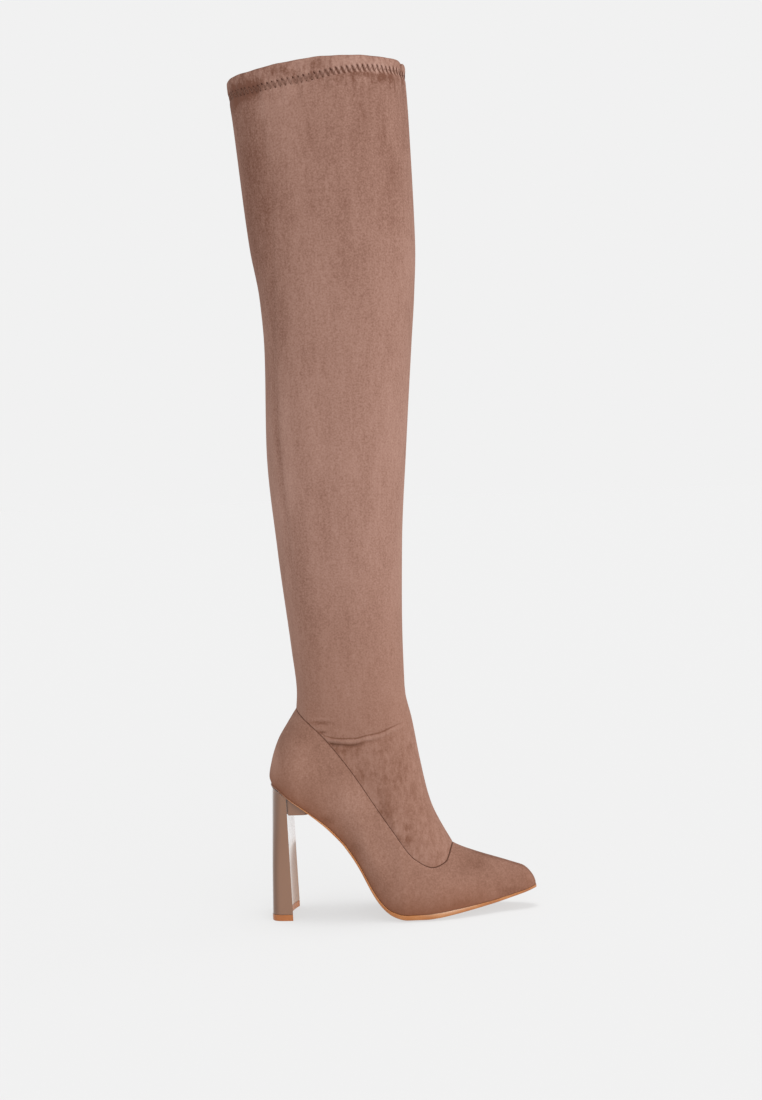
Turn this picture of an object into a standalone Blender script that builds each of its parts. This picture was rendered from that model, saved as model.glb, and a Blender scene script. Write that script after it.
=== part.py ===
"""Tall pull-on boot for the right foot, on a slim slab heel.

The foot is a suede upper over a pointed last, the leg a stretch shaft sewn to it along a curved
seam. +X runs to the toe, +Y to the inner side of the leg, and +Z up from the floor. The sizes below
are millimetres, and MM turns them into metres.
"""

from collections import namedtuple

import bmesh
import bpy
import numpy as np

MM = 0.001
GAP = 0.3

# Ends of the last along the feather line, where the upper meets the sole.
FEATHER_BACK = -2.6
TOE_TIP = 216.0
HEEL_ROUND = 26.0
TOE_ROUND = 12.0

# Wall of the suede upper and of the stretch shaft, with the folded hem at the collar.
UPPER_WALL = 1.6
SHAFT_WALL = 1.3
HEM_WALL = 2.3
HEM_DEPTH = 13.0
HEM_STEP = 0.5
SEAM_STEP = 0.4
SEAM_PULL_START = 0.5
COLLAR_BACK = 691.5
COLLAR_FRONT = 699.5
COLLAR_RISE = 0.75
ANKLE_BACK = 200.0
ANKLE_FRONT = 184.0
BACK_FULLNESS = 2.5
FRONT_FULLNESS = 2.1

# Sole edge, insole and heel.
SOLE_EDGE = 0.7
INSOLE_THICKNESS = 1.8
INSOLE_INSET = UPPER_WALL + 0.7
LIFT_HEIGHT = 5.4
FLANGE_UNDERSIDE = 88.3
FLANGE_DROP = 0.2

# Rounding of a sheet's edge: how far in from the edge, and how far up or down, it starts. The tread
# is rounded by shares of the sole's thickness.
Roll = namedtuple("Roll", "inward height")
TOP_ROLL = Roll(0.5, 0.4)
TREAD_SHARES = Roll(0.9, 0.33)

# Fineness of the lofts.
AROUND = 72
FOOT_RINGS = 13
ANKLE_RINGS = 7
LEG_RINGS = 10
PLATE_END = 0.25
HEEL_COLUMNS = 18
HEEL_LEVELS = (0.0, 0.18, 0.35, 0.5, 0.56, 0.62, 0.7, 0.79, 0.88, 0.94, 1.0)

# The sole, a row for each place from heel to toe: height of its underside, and its thickness.
Tread = namedtuple("Tread", "x underside thickness")
SOLE = (
    Tread(-3.0, 110.85, 1.1),
    Tread(3.0, 108.95, 1.1),
    Tread(10.0, 103.85, 1.1),
    Tread(31.0, 88.8, 1.1),
    Tread(43.0, 78.3, 1.65),
    Tread(50.0, 71.0, 1.9),
    Tread(57.0, 63.1, 1.9),
    Tread(62.0, 56.0, 1.9),
    Tread(67.0, 48.2, 1.95),
    Tread(71.5, 40.1, 2.05),
    Tread(76.0, 31.0, 2.1),
    Tread(81.0, 21.3, 2.2),
    Tread(85.5, 14.3, 2.5),
    Tread(90.5, 8.3, 3.0),
    Tread(95.5, 4.2, 3.8),
    Tread(100.5, 1.8, 4.5),
    Tread(105.0, 0.6, 4.9),
    Tread(110.0, 0.0, 5.05),
    Tread(126.0, 0.0, 5.2),
    Tread(132.0, 0.5, 5.2),
    Tread(140.0, 1.4, 4.9),
    Tread(150.0, 2.85, 4.5),
    Tread(170.0, 5.8, 3.6),
    Tread(184.0, 8.0, 3.05),
    Tread(194.0, 10.3, 2.75),
    Tread(216.0, 15.85, 2.3),
)

# The last, a row for each section from heel to toe: offset of the centre line, half widths at the
# feather, how far the wall swells and over what height, and the height of the ridge along the instep
# and vamp.
Section = namedtuple("Section", "x centre lateral medial swell swell_height ridge")
LAST = (
    Section(-3.0, 0.0, 24.0, 24.0, 5.0, 30.0, 330.0),
    Section(10.0, 0.0, 24.0, 24.0, 5.0, 30.0, 315.0),
    Section(31.0, 0.0, 24.0, 23.5, 6.5, 34.0, 285.0),
    Section(50.0, 0.0, 22.0, 21.0, 9.5, 44.0, 245.0),
    Section(60.0, 0.0, 21.5, 20.0, 10.5, 50.0, 220.0),
    Section(70.0, 0.0, 22.2, 21.2, 9.5, 48.0, 190.0),
    Section(80.0, 0.2, 24.3, 24.3, 7.5, 40.0, 165.0),
    Section(90.0, 0.6, 27.0, 28.2, 5.5, 30.0, 140.0),
    Section(99.0, 1.1, 29.8, 32.0, 4.0, 22.0, 121.0),
    Section(108.0, 1.6, 32.2, 35.2, 3.0, 17.0, 105.0),
    Section(130.0, 3.0, 31.8, 35.8, 2.0, 13.0, 74.0),
    Section(147.5, 4.6, 28.5, 32.0, 1.5, 11.0, 57.0),
    Section(165.0, 6.6, 22.6, 25.8, 1.2, 9.0, 49.2),
    Section(190.0, 9.5, 12.8, 14.5, 0.8, 7.0, 40.7),
    Section(216.0, 12.5, 7.0, 7.2, 0.5, 5.0, 31.5),
)

# The leg, a row for each height: back and front lines, offset of the centre line, and half width.
Leg = namedtuple("Leg", "z back front centre half")
LEG = (
    Leg(40.0, 34.0, 158.0, 5.2, 33.0),
    Leg(57.0, 31.0, 147.5, 4.6, 33.0),
    Leg(94.0, 27.0, 130.0, 2.9, 32.5),
    Leg(128.0, 24.0, 122.9, 1.7, 32.3),
    Leg(162.0, 20.0, 117.5, 0.8, 32.4),
    Leg(190.0, 22.0, 112.3, 0.3, 33.0),
    Leg(224.0, 19.2, 112.1, 0.0, 35.0),
    Leg(308.0, 10.9, 114.6, 0.0, 40.5),
    Leg(391.0, 5.3, 121.2, 0.0, 44.5),
    Leg(474.0, 7.1, 128.6, 0.0, 47.8),
    Leg(515.0, 4.9, 132.4, 0.0, 49.2),
    Leg(557.0, -1.6, 134.7, 0.0, 50.4),
    Leg(655.0, -10.8, 133.0, 0.0, 52.0),
    Leg(700.0, -15.2, 131.0, 0.0, 52.3),
)

# Back line of the counter, and the seam between foot and shaft, both seen from the side.
Spot = namedtuple("Spot", "x z")
COUNTER = (
    Spot(-2.6, 112.2),
    Spot(-4.1, 118.0),
    Spot(-1.7, 131.0),
    Spot(4.1, 148.0),
    Spot(14.2, 165.0),
    Spot(21.0, 175.5),
)
SEAM = (
    Spot(21.0, 175.5),
    Spot(43.0, 156.5),
    Spot(63.0, 131.8),
    Spot(98.0, 77.0),
    Spot(117.5, 50.2),
    Spot(132.5, 42.6),
    Spot(142.5, 46.0),
    Spot(147.5, 57.0),
)

# The heel, a row for each level as a share of its height: back and front lines, half width, how
# square its back corners are, and the depth of the hollow in its breast.
Slab = namedtuple("Slab", "level back front half square hollow")
HEEL = (
    Slab(0.0, -4.8, 13.8, 22.5, 5.0, 4.5),
    Slab(0.35, -3.9, 13.0, 22.0, 4.4, 4.2),
    Slab(0.5, -3.5, 12.7, 21.9, 3.8, 3.0),
    Slab(0.62, -3.2, 12.45, 21.85, 3.3, 1.4),
    Slab(0.7, -3.0, 12.3, 21.8, 3.0, 0.9),
    Slab(0.88, -2.6, 12.0, 21.6, 2.5, 0.6),
    Slab(1.0, -2.4, 11.8, 21.4, 2.1, 0.5),
)
Flange = namedtuple("Flange", "x half")
FLANGE = (
    Flange(3.0, 20.4),
    Flange(14.0, 20.4),
    Flange(25.0, 20.4),
    Flange(28.5, 19.6),
    Flange(29.5, 18.4),
)

SUEDE = ("suede", (0.36, 0.19, 0.145, 1.0), 0.9)
STRETCH_SUEDE = ("stretch_suede", (0.35, 0.19, 0.15, 1.0), 0.9)
LACQUER = ("heel_lacquer", (0.30, 0.18, 0.135, 1.0), 0.2)
SOLE_TAN = ("sole_tan", (0.50, 0.23, 0.11, 1.0), 0.5)
LIFT_TAN = ("lift_tan", (0.41, 0.15, 0.05, 1.0), 0.5)
SOCK_BEIGE = ("sock_beige", (0.42, 0.30, 0.22, 1.0), 0.7)


def through(rows, along, value):
    """Returns a smooth curve through one column of a table, without overshoot between its rows."""
    at = np.array([getattr(row, along) for row in rows])
    held = np.array([getattr(row, value) for row in rows])
    steps = np.diff(at)
    slopes = np.diff(held) / steps
    before, after = slopes[:-1], slopes[1:]
    total = before + after
    steady = before * after > 0.0
    tangents = np.concatenate((slopes[:1], np.zeros(len(total)), slopes[-1:]))
    tangents[1:-1][steady] = 2.0 * before[steady] * after[steady] / total[steady]

    def curve(place):
        place = np.clip(place, at[0], at[-1])
        row = np.clip(np.searchsorted(at, place) - 1, 0, len(steps) - 1)
        part = (place - at[row]) / steps[row]
        rise = part * part * (3.0 - 2.0 * part)
        lead = part * (1.0 - part) ** 2 * tangents[row]
        trail = part * part * (1.0 - part) * tangents[row + 1]
        return held[row] * (1.0 - rise) + held[row + 1] * rise + (lead - trail) * steps[row]

    return curve


underside = through(SOLE, "x", "underside")
sole_thickness = through(SOLE, "x", "thickness")
foot_centre = through(LAST, "x", "centre")
lateral_half = through(LAST, "x", "lateral")
medial_half = through(LAST, "x", "medial")
swell = through(LAST, "x", "swell")
swell_height = through(LAST, "x", "swell_height")
full_ridge = through(LAST, "x", "ridge")
leg_back = through(LEG, "z", "back")
leg_front = through(LEG, "z", "front")
leg_centre = through(LEG, "z", "centre")
leg_half = through(LEG, "z", "half")
counter_back = through(COUNTER, "z", "x")
seam_height = through(SEAM, "x", "z")


def slant(line, x):
    """How much longer a line is than its run along X, at x."""
    reach = 0.5
    return np.sqrt(1.0 + ((line(x + reach) - line(x - reach)) / (2.0 * reach)) ** 2)


def sole_top(x):
    return underside(x) + sole_thickness(x) * slant(underside, x)


def feather(x):
    """Height of the upper's lower edge, just above the sole."""
    return sole_top(x) + GAP * slant(underside, x)


def round_end(x, end, length):
    """Falls from 1 to 0 on a quarter ellipse over the last stretch before an end."""
    inward = np.clip(1.0 - np.abs(x - end) / length, 0.0, 1.0)
    return np.sqrt(1.0 - inward**2)


def ridge(x):
    """Height of the upper's top line over the vamp, falling to the feather at the toe tip."""
    return feather(x) + (full_ridge(x) - feather(x)) * round_end(x, TOE_TIP, TOE_ROUND)


def feather_half(x, side, grow):
    """Half width of the last's outline on one side, grown or shrunk all round."""
    half = np.where(side < 0.0, lateral_half(x), medial_half(x)) + grow
    heel = round_end(x, FEATHER_BACK - grow, HEEL_ROUND + grow)
    toe = round_end(x, TOE_TIP + grow, TOE_ROUND + grow)
    return half * heel * toe


def foot_y(x, z, side):
    """Sideways place of the upper's outer skin at a spot of the side view."""
    height = np.maximum(z - feather(x), 0.0)
    half = np.where(side < 0.0, lateral_half(x), medial_half(x))
    half = half + swell(x) * np.sin(0.5 * np.pi * np.clip(height / swell_height(x), 0.0, 1.0))
    share = np.clip(height / np.maximum(ridge(x) - feather(x), GAP), 0.0, 1.0)
    heel = round_end(x, counter_back(z), HEEL_ROUND)
    toe = round_end(x, TOE_TIP, TOE_ROUND)
    return foot_centre(x) + side * half * np.sqrt(1.0 - share**2) * heel * toe


def leg_y(x, z, side):
    """Sideways place of the shaft's outer skin at a spot of the side view."""
    back, front = leg_back(z), leg_front(z)
    across = np.clip((2.0 * x - back - front) / (front - back), -1.0, 1.0)
    fullness = np.where(across < 0.0, BACK_FULLNESS, FRONT_FULLNESS)
    return leg_centre(z) + side * leg_half(z) * np.sqrt(1.0 - np.abs(across) ** fullness)


def patch(lower, upper, back, front, along, up):
    """Fills the side view between four boundary lines, at a height `up` from lower to upper."""
    low, high = lower(along), upper(along)
    rear, fore = back(up), front(up)
    corners = (1.0 - up) * ((1.0 - along) * low[:, :1] + along * low[:, -1:])
    corners = corners + up * ((1.0 - along) * high[:, :1] + along * high[:, -1:])
    sides = (1.0 - along) * rear[:, None] + along * fore[:, None]
    return (1.0 - up) * low + up * high + sides - corners


def ease(part):
    part = np.clip(part, 0.0, 1.0)
    return part * part * (3.0 - 2.0 * part)


def blend(low, high, part):
    return low * (1.0 - part) + high * part


def feather_line(along):
    x = blend(FEATHER_BACK, TOE_TIP, along)
    return np.array((x, feather(x)))


def seam_line(along):
    x = blend(SEAM[0].x, SEAM[-1].x, along)
    return np.array((x, seam_height(x)))


def shaft_foot_line(along):
    """The seam raised by the clearance, where the shaft starts."""
    x, z = seam_line(along)
    return np.array((x, z + GAP * slant(seam_height, x)))


def counter_line(up):
    z = blend(feather(FEATHER_BACK), SEAM[0].z, up)
    return np.array((counter_back(z), z))


def ridge_line(up):
    """Runs up over the toe and back along the vamp to the throat, by length."""
    samples = 400
    x = blend(SEAM[-1].x, TOE_TIP, 1.0 - np.linspace(1.0, 0.0, samples) ** 2)[::-1]
    z = ridge(x)
    run = np.concatenate(((0.0,), np.cumsum(np.hypot(np.diff(x), np.diff(z)))))
    reached = up * run[-1]
    return np.array((np.interp(reached, run, x), np.interp(reached, run, z)))


def ankle_line(along):
    z = blend(ANKLE_BACK, ANKLE_FRONT, along)
    return np.array((blend(leg_back(ANKLE_BACK), leg_front(ANKLE_FRONT), along), z))


def ankle_back_line(up):
    z = blend(shaft_foot_line(np.zeros(1))[1, 0], ANKLE_BACK, up)
    return np.array((leg_back(z), z))


def ankle_front_line(up):
    z = blend(shaft_foot_line(np.ones(1))[1, 0], ANKLE_FRONT, up)
    return np.array((leg_front(z), z))


def ring_places(count):
    """Shares of the way from back to front along one half of a ring, close-set at both ends."""
    return 0.5 - 0.5 * np.cos(np.linspace(0.0, np.pi, count // 2 + 1))


def closed_ring(places, sideways):
    """Joins the lateral half of a ring, back to front, with the medial half, front to back."""
    x, z = places
    lateral = np.stack((x, sideways(x, z, -1.0), z), axis=1)
    medial = np.stack((x, sideways(x, z, 1.0), z), axis=1)
    return np.concatenate((lateral, medial[-2:0:-1]))


def seam_pull(along, side, body):
    """How far one body's skin moves sideways at the seam to meet the other."""
    x, z = seam_line(along)
    meeting = 0.5 * (foot_y(x, z, side) + leg_y(x, z, side))
    return meeting - body(x, z, side)


def upper_ring(along, up):
    places = patch(feather_line, seam_line, counter_line, ridge_line, along, up)
    pull = ease((up - SEAM_PULL_START) / (1.0 - SEAM_PULL_START))

    def sideways(x, z, side):
        return foot_y(x, z, side) + pull * seam_pull(along, side, foot_y)

    return closed_ring(places, sideways)


def ankle_ring(along, up):
    places = patch(shaft_foot_line, ankle_line, ankle_back_line, ankle_front_line, along, up)
    pull = ease(1.0 - up)
    tuck = SEAM_STEP * pull * np.sqrt(4.0 * along * (1.0 - along))

    def sideways(x, z, side):
        return leg_y(x, z, side) + pull * seam_pull(along, side, leg_y) - side * tuck

    return closed_ring(places, sideways)


def leg_ring(along, up, step=0.0):
    """A ring of the straight leg, from the ankle to the collar, stood off by a step."""
    back_z = blend(ANKLE_BACK, COLLAR_BACK, up)
    front_z = blend(ANKLE_FRONT, COLLAR_FRONT, up)
    x = blend(leg_back(back_z), leg_front(front_z), along)
    tilt = blend(along, ease(along / COLLAR_RISE), up)
    places = np.array((x, blend(back_z, front_z, tilt)))
    ring = closed_ring(places, leg_y)
    middle = 0.5 * (ring.max(axis=0) + ring.min(axis=0))
    reach = 0.5 * (ring.max(axis=0) - ring.min(axis=0))
    grown = 1.0 + step / reach
    grown[2] = 1.0
    return middle + (ring - middle) * grown


def clear_scene():
    for thing in list(bpy.data.objects):
        bpy.data.objects.remove(thing, do_unlink=True)


def group(name):
    collection = bpy.data.collections.new(name)
    bpy.context.scene.collection.children.link(collection)
    return collection


def finish(name, colour, roughness):
    material = bpy.data.materials.new(name)
    material.use_nodes = True
    shader = material.node_tree.nodes["Principled BSDF"]
    shader.inputs["Base Color"].default_value = colour
    shader.inputs["Roughness"].default_value = roughness
    material.diffuse_color = colour
    return material


def loft(name, rings, capped):
    """Skins a stack of closed rings with quads, and closes its ends where it is capped."""
    mesh = bpy.data.meshes.new(name)
    work = bmesh.new()
    rows = [[work.verts.new(tuple(float(v) * MM for v in point)) for point in ring] for ring in rings]
    count = len(rows[0])
    for low, high in zip(rows, rows[1:]):
        for i in range(count):
            j = (i + 1) % count
            work.faces.new((low[i], low[j], high[j], high[i]))
    if capped:
        for i in range(count // 2 - 1):
            j = count - 1 - i
            work.faces.new((rows[0][i], rows[0][j], rows[0][j - 1], rows[0][i + 1]))
            work.faces.new((rows[-1][i], rows[-1][i + 1], rows[-1][j - 1], rows[-1][j]))
    work.to_mesh(mesh)
    work.free()
    mesh.shade_smooth()
    return bpy.data.objects.new(name, mesh)


def keep(thing, collection, parent, look):
    thing.parent = parent
    thing.data.materials.append(finish(*look))
    collection.objects.link(thing)


def add_wall(thing, wall):
    """Gives a skin its thickness, inwards from the outer face."""
    solidify = thing.modifiers.new("wall", "SOLIDIFY")
    solidify.thickness = wall * MM
    solidify.offset = -1.0
    solidify.use_even_offset = True
    solidify.use_quality_normals = True
    return solidify


def make_upper():
    """Suede foot: toe, vamp and counter in one wall, from the feather to the seam."""
    along = ring_places(AROUND)
    rings = [upper_ring(along, up) for up in np.linspace(0.0, 1.0, FOOT_RINGS)]
    upper = loft("upper", rings, capped=False)
    add_wall(upper, UPPER_WALL)
    return upper


def make_shaft():
    """Stretch leg from the seam to the collar, its folded hem thicker and standing proud."""
    along = ring_places(AROUND)
    hem_start = 1.0 - HEM_DEPTH / (COLLAR_FRONT - ANKLE_FRONT)
    hem_rise = HEM_STEP / (COLLAR_FRONT - ANKLE_FRONT)
    rings = [ankle_ring(along, up) for up in np.linspace(0.0, 1.0, ANKLE_RINGS + 1)]
    rings += [leg_ring(along, up) for up in np.linspace(0.0, hem_start, LEG_RINGS + 1)[1:]]
    single = len(rings) * AROUND
    rings += [leg_ring(along, up, HEM_STEP) for up in (hem_start + hem_rise, 1.0)]
    shaft = loft("shaft", rings, capped=False)
    wall = shaft.vertex_groups.new(name="wall")
    wall.add(list(range(single)), SHAFT_WALL / HEM_WALL, "REPLACE")
    wall.add(list(range(single, len(rings) * AROUND)), 1.0, "REPLACE")
    add_wall(shaft, HEM_WALL).vertex_group = wall.name
    return shaft


def plate(name, grow, bottom, top, roll):
    """A sheet that follows the last's outline, with its edges rounded, lofted from heel to toe."""
    rear = FEATHER_BACK - grow + PLATE_END
    fore = TOE_TIP + grow - PLATE_END
    shared = feather_line(ring_places(AROUND))[0]
    shared = shared[(shared > rear + PLATE_END) & (shared < fore - PLATE_END)]
    rings = []
    for x in (rear, *shared, fore):
        medial = foot_centre(x) + feather_half(x, 1.0, grow)
        lateral = foot_centre(x) - feather_half(x, -1.0, grow)
        most = 0.25 * (medial - lateral)
        low_roll = roll(x)
        low_in, high_in = min(low_roll.inward, most), min(TOP_ROLL.inward, most)
        low, high = bottom(x), top(x)
        low_edge = low + low_roll.height * slant(underside, x)
        high_edge = high - TOP_ROLL.height * slant(underside, x)
        rings.append((
            (x, medial - low_in, low),
            (x, medial, low_edge),
            (x, medial, high_edge),
            (x, medial - high_in, high),
            (x, lateral + high_in, high),
            (x, lateral, high_edge),
            (x, lateral, low_edge),
            (x, lateral + low_in, low),
        ))
    return loft(name, rings, capped=True)


def tread_roll(x):
    thickness = sole_thickness(x)
    return Roll(TREAD_SHARES.inward * thickness, TREAD_SHARES.height * thickness)


def make_outsole():
    return plate("outsole", SOLE_EDGE, underside, sole_top, tread_roll)


def insole_top(x):
    return feather(x) + INSOLE_THICKNESS * slant(underside, x)


def board_roll(x):
    return TOP_ROLL


def make_insole():
    return plate("insole", -INSOLE_INSET, feather, insole_top, board_roll)


heel_back = through(HEEL, "level", "back")
heel_front = through(HEEL, "level", "front")
heel_half = through(HEEL, "level", "half")
heel_square = through(HEEL, "level", "square")
heel_hollow = through(HEEL, "level", "hollow")


def slab_plan(level):
    """Plan of the heel at a level: rounded back, flat sides, and a hollow breast in front."""
    half, square = heel_half(level), heel_square(level)
    turn = np.linspace(0.0, np.pi, HEEL_COLUMNS + 1)
    sine, cosine = np.sin(turn), np.cos(turn)
    y = half * np.sign(cosine) * np.abs(cosine) ** (2.0 / square)
    back = heel_front(level) - (heel_front(level) - heel_back(level)) * sine ** (2.0 / square)
    front = heel_front(level) - heel_hollow(level) * (1.0 - (y / half) ** 2)
    x = np.concatenate((back, front[-2:0:-1]))
    return x, np.concatenate((y, y[-2:0:-1]))


def heel_top(x):
    return underside(x) - GAP * slant(underside, x)


def make_heel_block(cutters):
    """Lacquered slab with a flat-bottomed flange under the front of the heel seat."""
    rings = []
    for level in HEEL_LEVELS:
        x, y = slab_plan(level)
        rings.append(np.stack((x, y, blend(LIFT_HEIGHT, heel_top(x), level)), axis=1))
    block = loft("heel_block", rings, capped=True)
    rings = []
    for x, half in FLANGE:
        low, high = FLANGE_UNDERSIDE, heel_top(x) - FLANGE_DROP
        rings.append(((x, -half, low), (x, half, low), (x, half, high), (x, -half, high)))
    flange = loft("flange", rings, capped=True)
    flange.hide_render = True
    flange.display_type = "WIRE"
    cutters.objects.link(flange)
    union = block.modifiers.new("flange", "BOOLEAN")
    union.operation = "UNION"
    union.object = flange
    return block, flange


def make_heel_lift():
    x, y = slab_plan(0.0)
    rings = [np.stack((x, y, np.full_like(x, z)), axis=1) for z in (0.0, LIFT_HEIGHT - GAP)]
    return loft("heel_lift", rings, capped=True)


def build_boot():
    clear_scene()
    boot = group("tall_boot")
    cutters = group("cutters")
    origin = bpy.data.objects.new("boot_origin", None)
    rear = float(leg_back(COLLAR_BACK)) - HEM_STEP
    fore = TOE_TIP + SOLE_EDGE - PLATE_END
    origin.location.x = -0.5 * (rear + fore) * MM
    boot.objects.link(origin)
    keep(make_upper(), boot, origin, SUEDE)
    keep(make_shaft(), boot, origin, STRETCH_SUEDE)
    keep(make_outsole(), boot, origin, SOLE_TAN)
    keep(make_insole(), boot, origin, SOCK_BEIGE)
    block, flange = make_heel_block(cutters)
    flange.parent = origin
    keep(block, boot, origin, LACQUER)
    keep(make_heel_lift(), boot, origin, LIFT_TAN)
    bpy.context.view_layer.update()


build_boot()
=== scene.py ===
"""Looks of the tall boot: a suede foot, a stretch leg, a tan sole and a lacquered slab heel.

Lengths are millimetres in the maker's frame, where the heel's axis stands at x = 0, +X runs to the
toe, +Y to the inner side of the leg and +Z up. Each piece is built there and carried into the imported
model's frame, in metres.
"""

from collections import namedtuple

import bpy
import numpy as np
from mathutils import Matrix, Vector


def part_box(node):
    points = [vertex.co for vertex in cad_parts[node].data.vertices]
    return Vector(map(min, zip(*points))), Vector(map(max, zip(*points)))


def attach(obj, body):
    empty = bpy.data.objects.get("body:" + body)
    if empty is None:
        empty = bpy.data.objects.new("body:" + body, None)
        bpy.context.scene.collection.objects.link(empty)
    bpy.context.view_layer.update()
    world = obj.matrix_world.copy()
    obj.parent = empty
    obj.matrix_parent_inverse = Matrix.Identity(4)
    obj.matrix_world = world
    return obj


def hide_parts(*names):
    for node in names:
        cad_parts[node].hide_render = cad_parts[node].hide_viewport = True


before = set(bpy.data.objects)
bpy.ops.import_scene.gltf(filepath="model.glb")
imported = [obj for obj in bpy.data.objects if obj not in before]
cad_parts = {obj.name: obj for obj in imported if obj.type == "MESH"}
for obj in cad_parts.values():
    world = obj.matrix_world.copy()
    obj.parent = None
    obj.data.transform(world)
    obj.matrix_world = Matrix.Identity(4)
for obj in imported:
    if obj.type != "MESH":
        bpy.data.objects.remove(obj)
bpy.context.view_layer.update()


# Outsole. A thin moulded sheet of tan rubber, cut to the outline of the last: it carries the heel
# seat, drops steeply through the arch, lies flat under the ball and springs up at the toe. It is
# cemented to the lasted upper, and its painted edge stands a little proud of the suede.
MM = 0.001
GAP = 0.3
FEATHER_BACK = -2.6
TOE_TIP = 216.0
HEEL_ROUND = 26.0
TOE_ROUND = 12.0
SOLE_EDGE = 0.7
SHEET_END = 0.25
HEEL_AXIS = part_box("outsole")[1].x / MM - (TOE_TIP + SOLE_EDGE - SHEET_END)

Tread = namedtuple("Tread", "x underside thickness")
SOLE = (
    Tread(-3.0, 110.85, 1.1),
    Tread(3.0, 108.95, 1.1),
    Tread(10.0, 103.85, 1.1),
    Tread(31.0, 88.8, 1.1),
    Tread(43.0, 78.3, 1.65),
    Tread(50.0, 71.0, 1.9),
    Tread(57.0, 63.1, 1.9),
    Tread(62.0, 56.0, 1.9),
    Tread(67.0, 48.2, 1.95),
    Tread(71.5, 40.1, 2.05),
    Tread(76.0, 31.0, 2.1),
    Tread(81.0, 21.3, 2.2),
    Tread(85.5, 14.3, 2.5),
    Tread(90.5, 8.3, 3.0),
    Tread(95.5, 4.2, 3.8),
    Tread(100.5, 1.8, 4.5),
    Tread(105.0, 0.6, 4.9),
    Tread(110.0, 0.0, 5.05),
    Tread(126.0, 0.0, 5.2),
    Tread(132.0, 0.5, 5.2),
    Tread(140.0, 1.4, 4.9),
    Tread(150.0, 2.85, 4.5),
    Tread(170.0, 5.8, 3.6),
    Tread(184.0, 8.0, 3.05),
    Tread(194.0, 10.3, 2.75),
    Tread(216.0, 15.85, 2.3),
)

Section = namedtuple("Section", "x centre lateral medial swell swell_height ridge")
LAST = (
    Section(-3.0, 0.0, 24.0, 24.0, 5.0, 30.0, 330.0),
    Section(10.0, 0.0, 24.0, 24.0, 5.0, 30.0, 315.0),
    Section(31.0, 0.0, 24.0, 23.5, 6.5, 34.0, 285.0),
    Section(50.0, 0.0, 22.0, 21.0, 9.5, 44.0, 245.0),
    Section(60.0, 0.0, 21.5, 20.0, 10.5, 50.0, 220.0),
    Section(70.0, 0.0, 22.2, 21.2, 9.5, 48.0, 190.0),
    Section(80.0, 0.2, 24.3, 24.3, 7.5, 40.0, 165.0),
    Section(90.0, 0.6, 27.0, 28.2, 5.5, 30.0, 140.0),
    Section(99.0, 1.1, 29.8, 32.0, 4.0, 22.0, 121.0),
    Section(108.0, 1.6, 32.2, 35.2, 3.0, 17.0, 105.0),
    Section(130.0, 3.0, 31.8, 35.8, 2.0, 13.0, 74.0),
    Section(147.5, 4.6, 28.5, 32.0, 1.5, 11.0, 57.0),
    Section(165.0, 6.6, 22.6, 25.8, 1.2, 9.0, 49.2),
    Section(190.0, 9.5, 12.8, 14.5, 0.8, 7.0, 40.7),
    Section(216.0, 12.5, 7.0, 7.2, 0.5, 5.0, 31.5),
)


def through(rows, along, value):
    """Returns a smooth curve through one column of a table, without overshoot between its rows."""
    at = np.array([getattr(row, along) for row in rows])
    held = np.array([getattr(row, value) for row in rows])
    steps = np.diff(at)
    slopes = np.diff(held) / steps
    before, after = slopes[:-1], slopes[1:]
    total = before + after
    steady = before * after > 0.0
    tangents = np.concatenate((slopes[:1], np.zeros(len(total)), slopes[-1:]))
    tangents[1:-1][steady] = 2.0 * before[steady] * after[steady] / total[steady]

    def curve(place):
        place = np.clip(place, at[0], at[-1])
        row = np.clip(np.searchsorted(at, place) - 1, 0, len(steps) - 1)
        part = (place - at[row]) / steps[row]
        rise = part * part * (3.0 - 2.0 * part)
        lead = part * (1.0 - part) ** 2 * tangents[row]
        trail = part * part * (1.0 - part) * tangents[row + 1]
        return held[row] * (1.0 - rise) + held[row + 1] * rise + (lead - trail) * steps[row]

    return curve


def curves(rows, along, *values):
    """Returns a curve through each of the named columns."""
    return [through(rows, along, value) for value in values]


underside, sole_thickness = curves(SOLE, "x", "underside", "thickness")
foot_centre, lateral_half, medial_half = curves(LAST, "x", "centre", "lateral", "medial")


def blend(low, high, part):
    return low * (1.0 - part) + high * part


def slant(line, x):
    """How much longer a line is than its run along X, at x."""
    reach = 0.5
    return np.sqrt(1.0 + ((line(x + reach) - line(x - reach)) / (2.0 * reach)) ** 2)


def sole_top(x):
    return underside(x) + sole_thickness(x) * slant(underside, x)


def round_end(x, end, length):
    """Falls from 1 to 0 on a quarter ellipse over the last stretch before an end."""
    inward = np.clip(1.0 - np.abs(x - end) / length, 0.0, 1.0)
    return np.sqrt(1.0 - inward**2)


def outline_half(x, side, grow):
    """Half width of the last's outline on one side, grown or shrunk all round."""
    half = np.where(side < 0.0, lateral_half(x), medial_half(x)) + grow
    heel = round_end(x, FEATHER_BACK - grow, HEEL_ROUND + grow)
    toe = round_end(x, TOE_TIP + grow, TOE_ROUND + grow)
    return half * heel * toe


def end_spaced(count):
    """Shares from 0 to 1, close-set at both ends."""
    return 0.5 - 0.5 * np.cos(np.linspace(0.0, np.pi, count))


def framed(points):
    """Carries points from the maker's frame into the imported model's."""
    return (points + (HEEL_AXIS, 0.0, 0.0)) * MM


def put(name, data):
    """Adds an object to the scene, at the origin."""
    thing = bpy.data.objects.new(name, data)
    bpy.context.scene.collection.objects.link(thing)
    return thing


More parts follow.
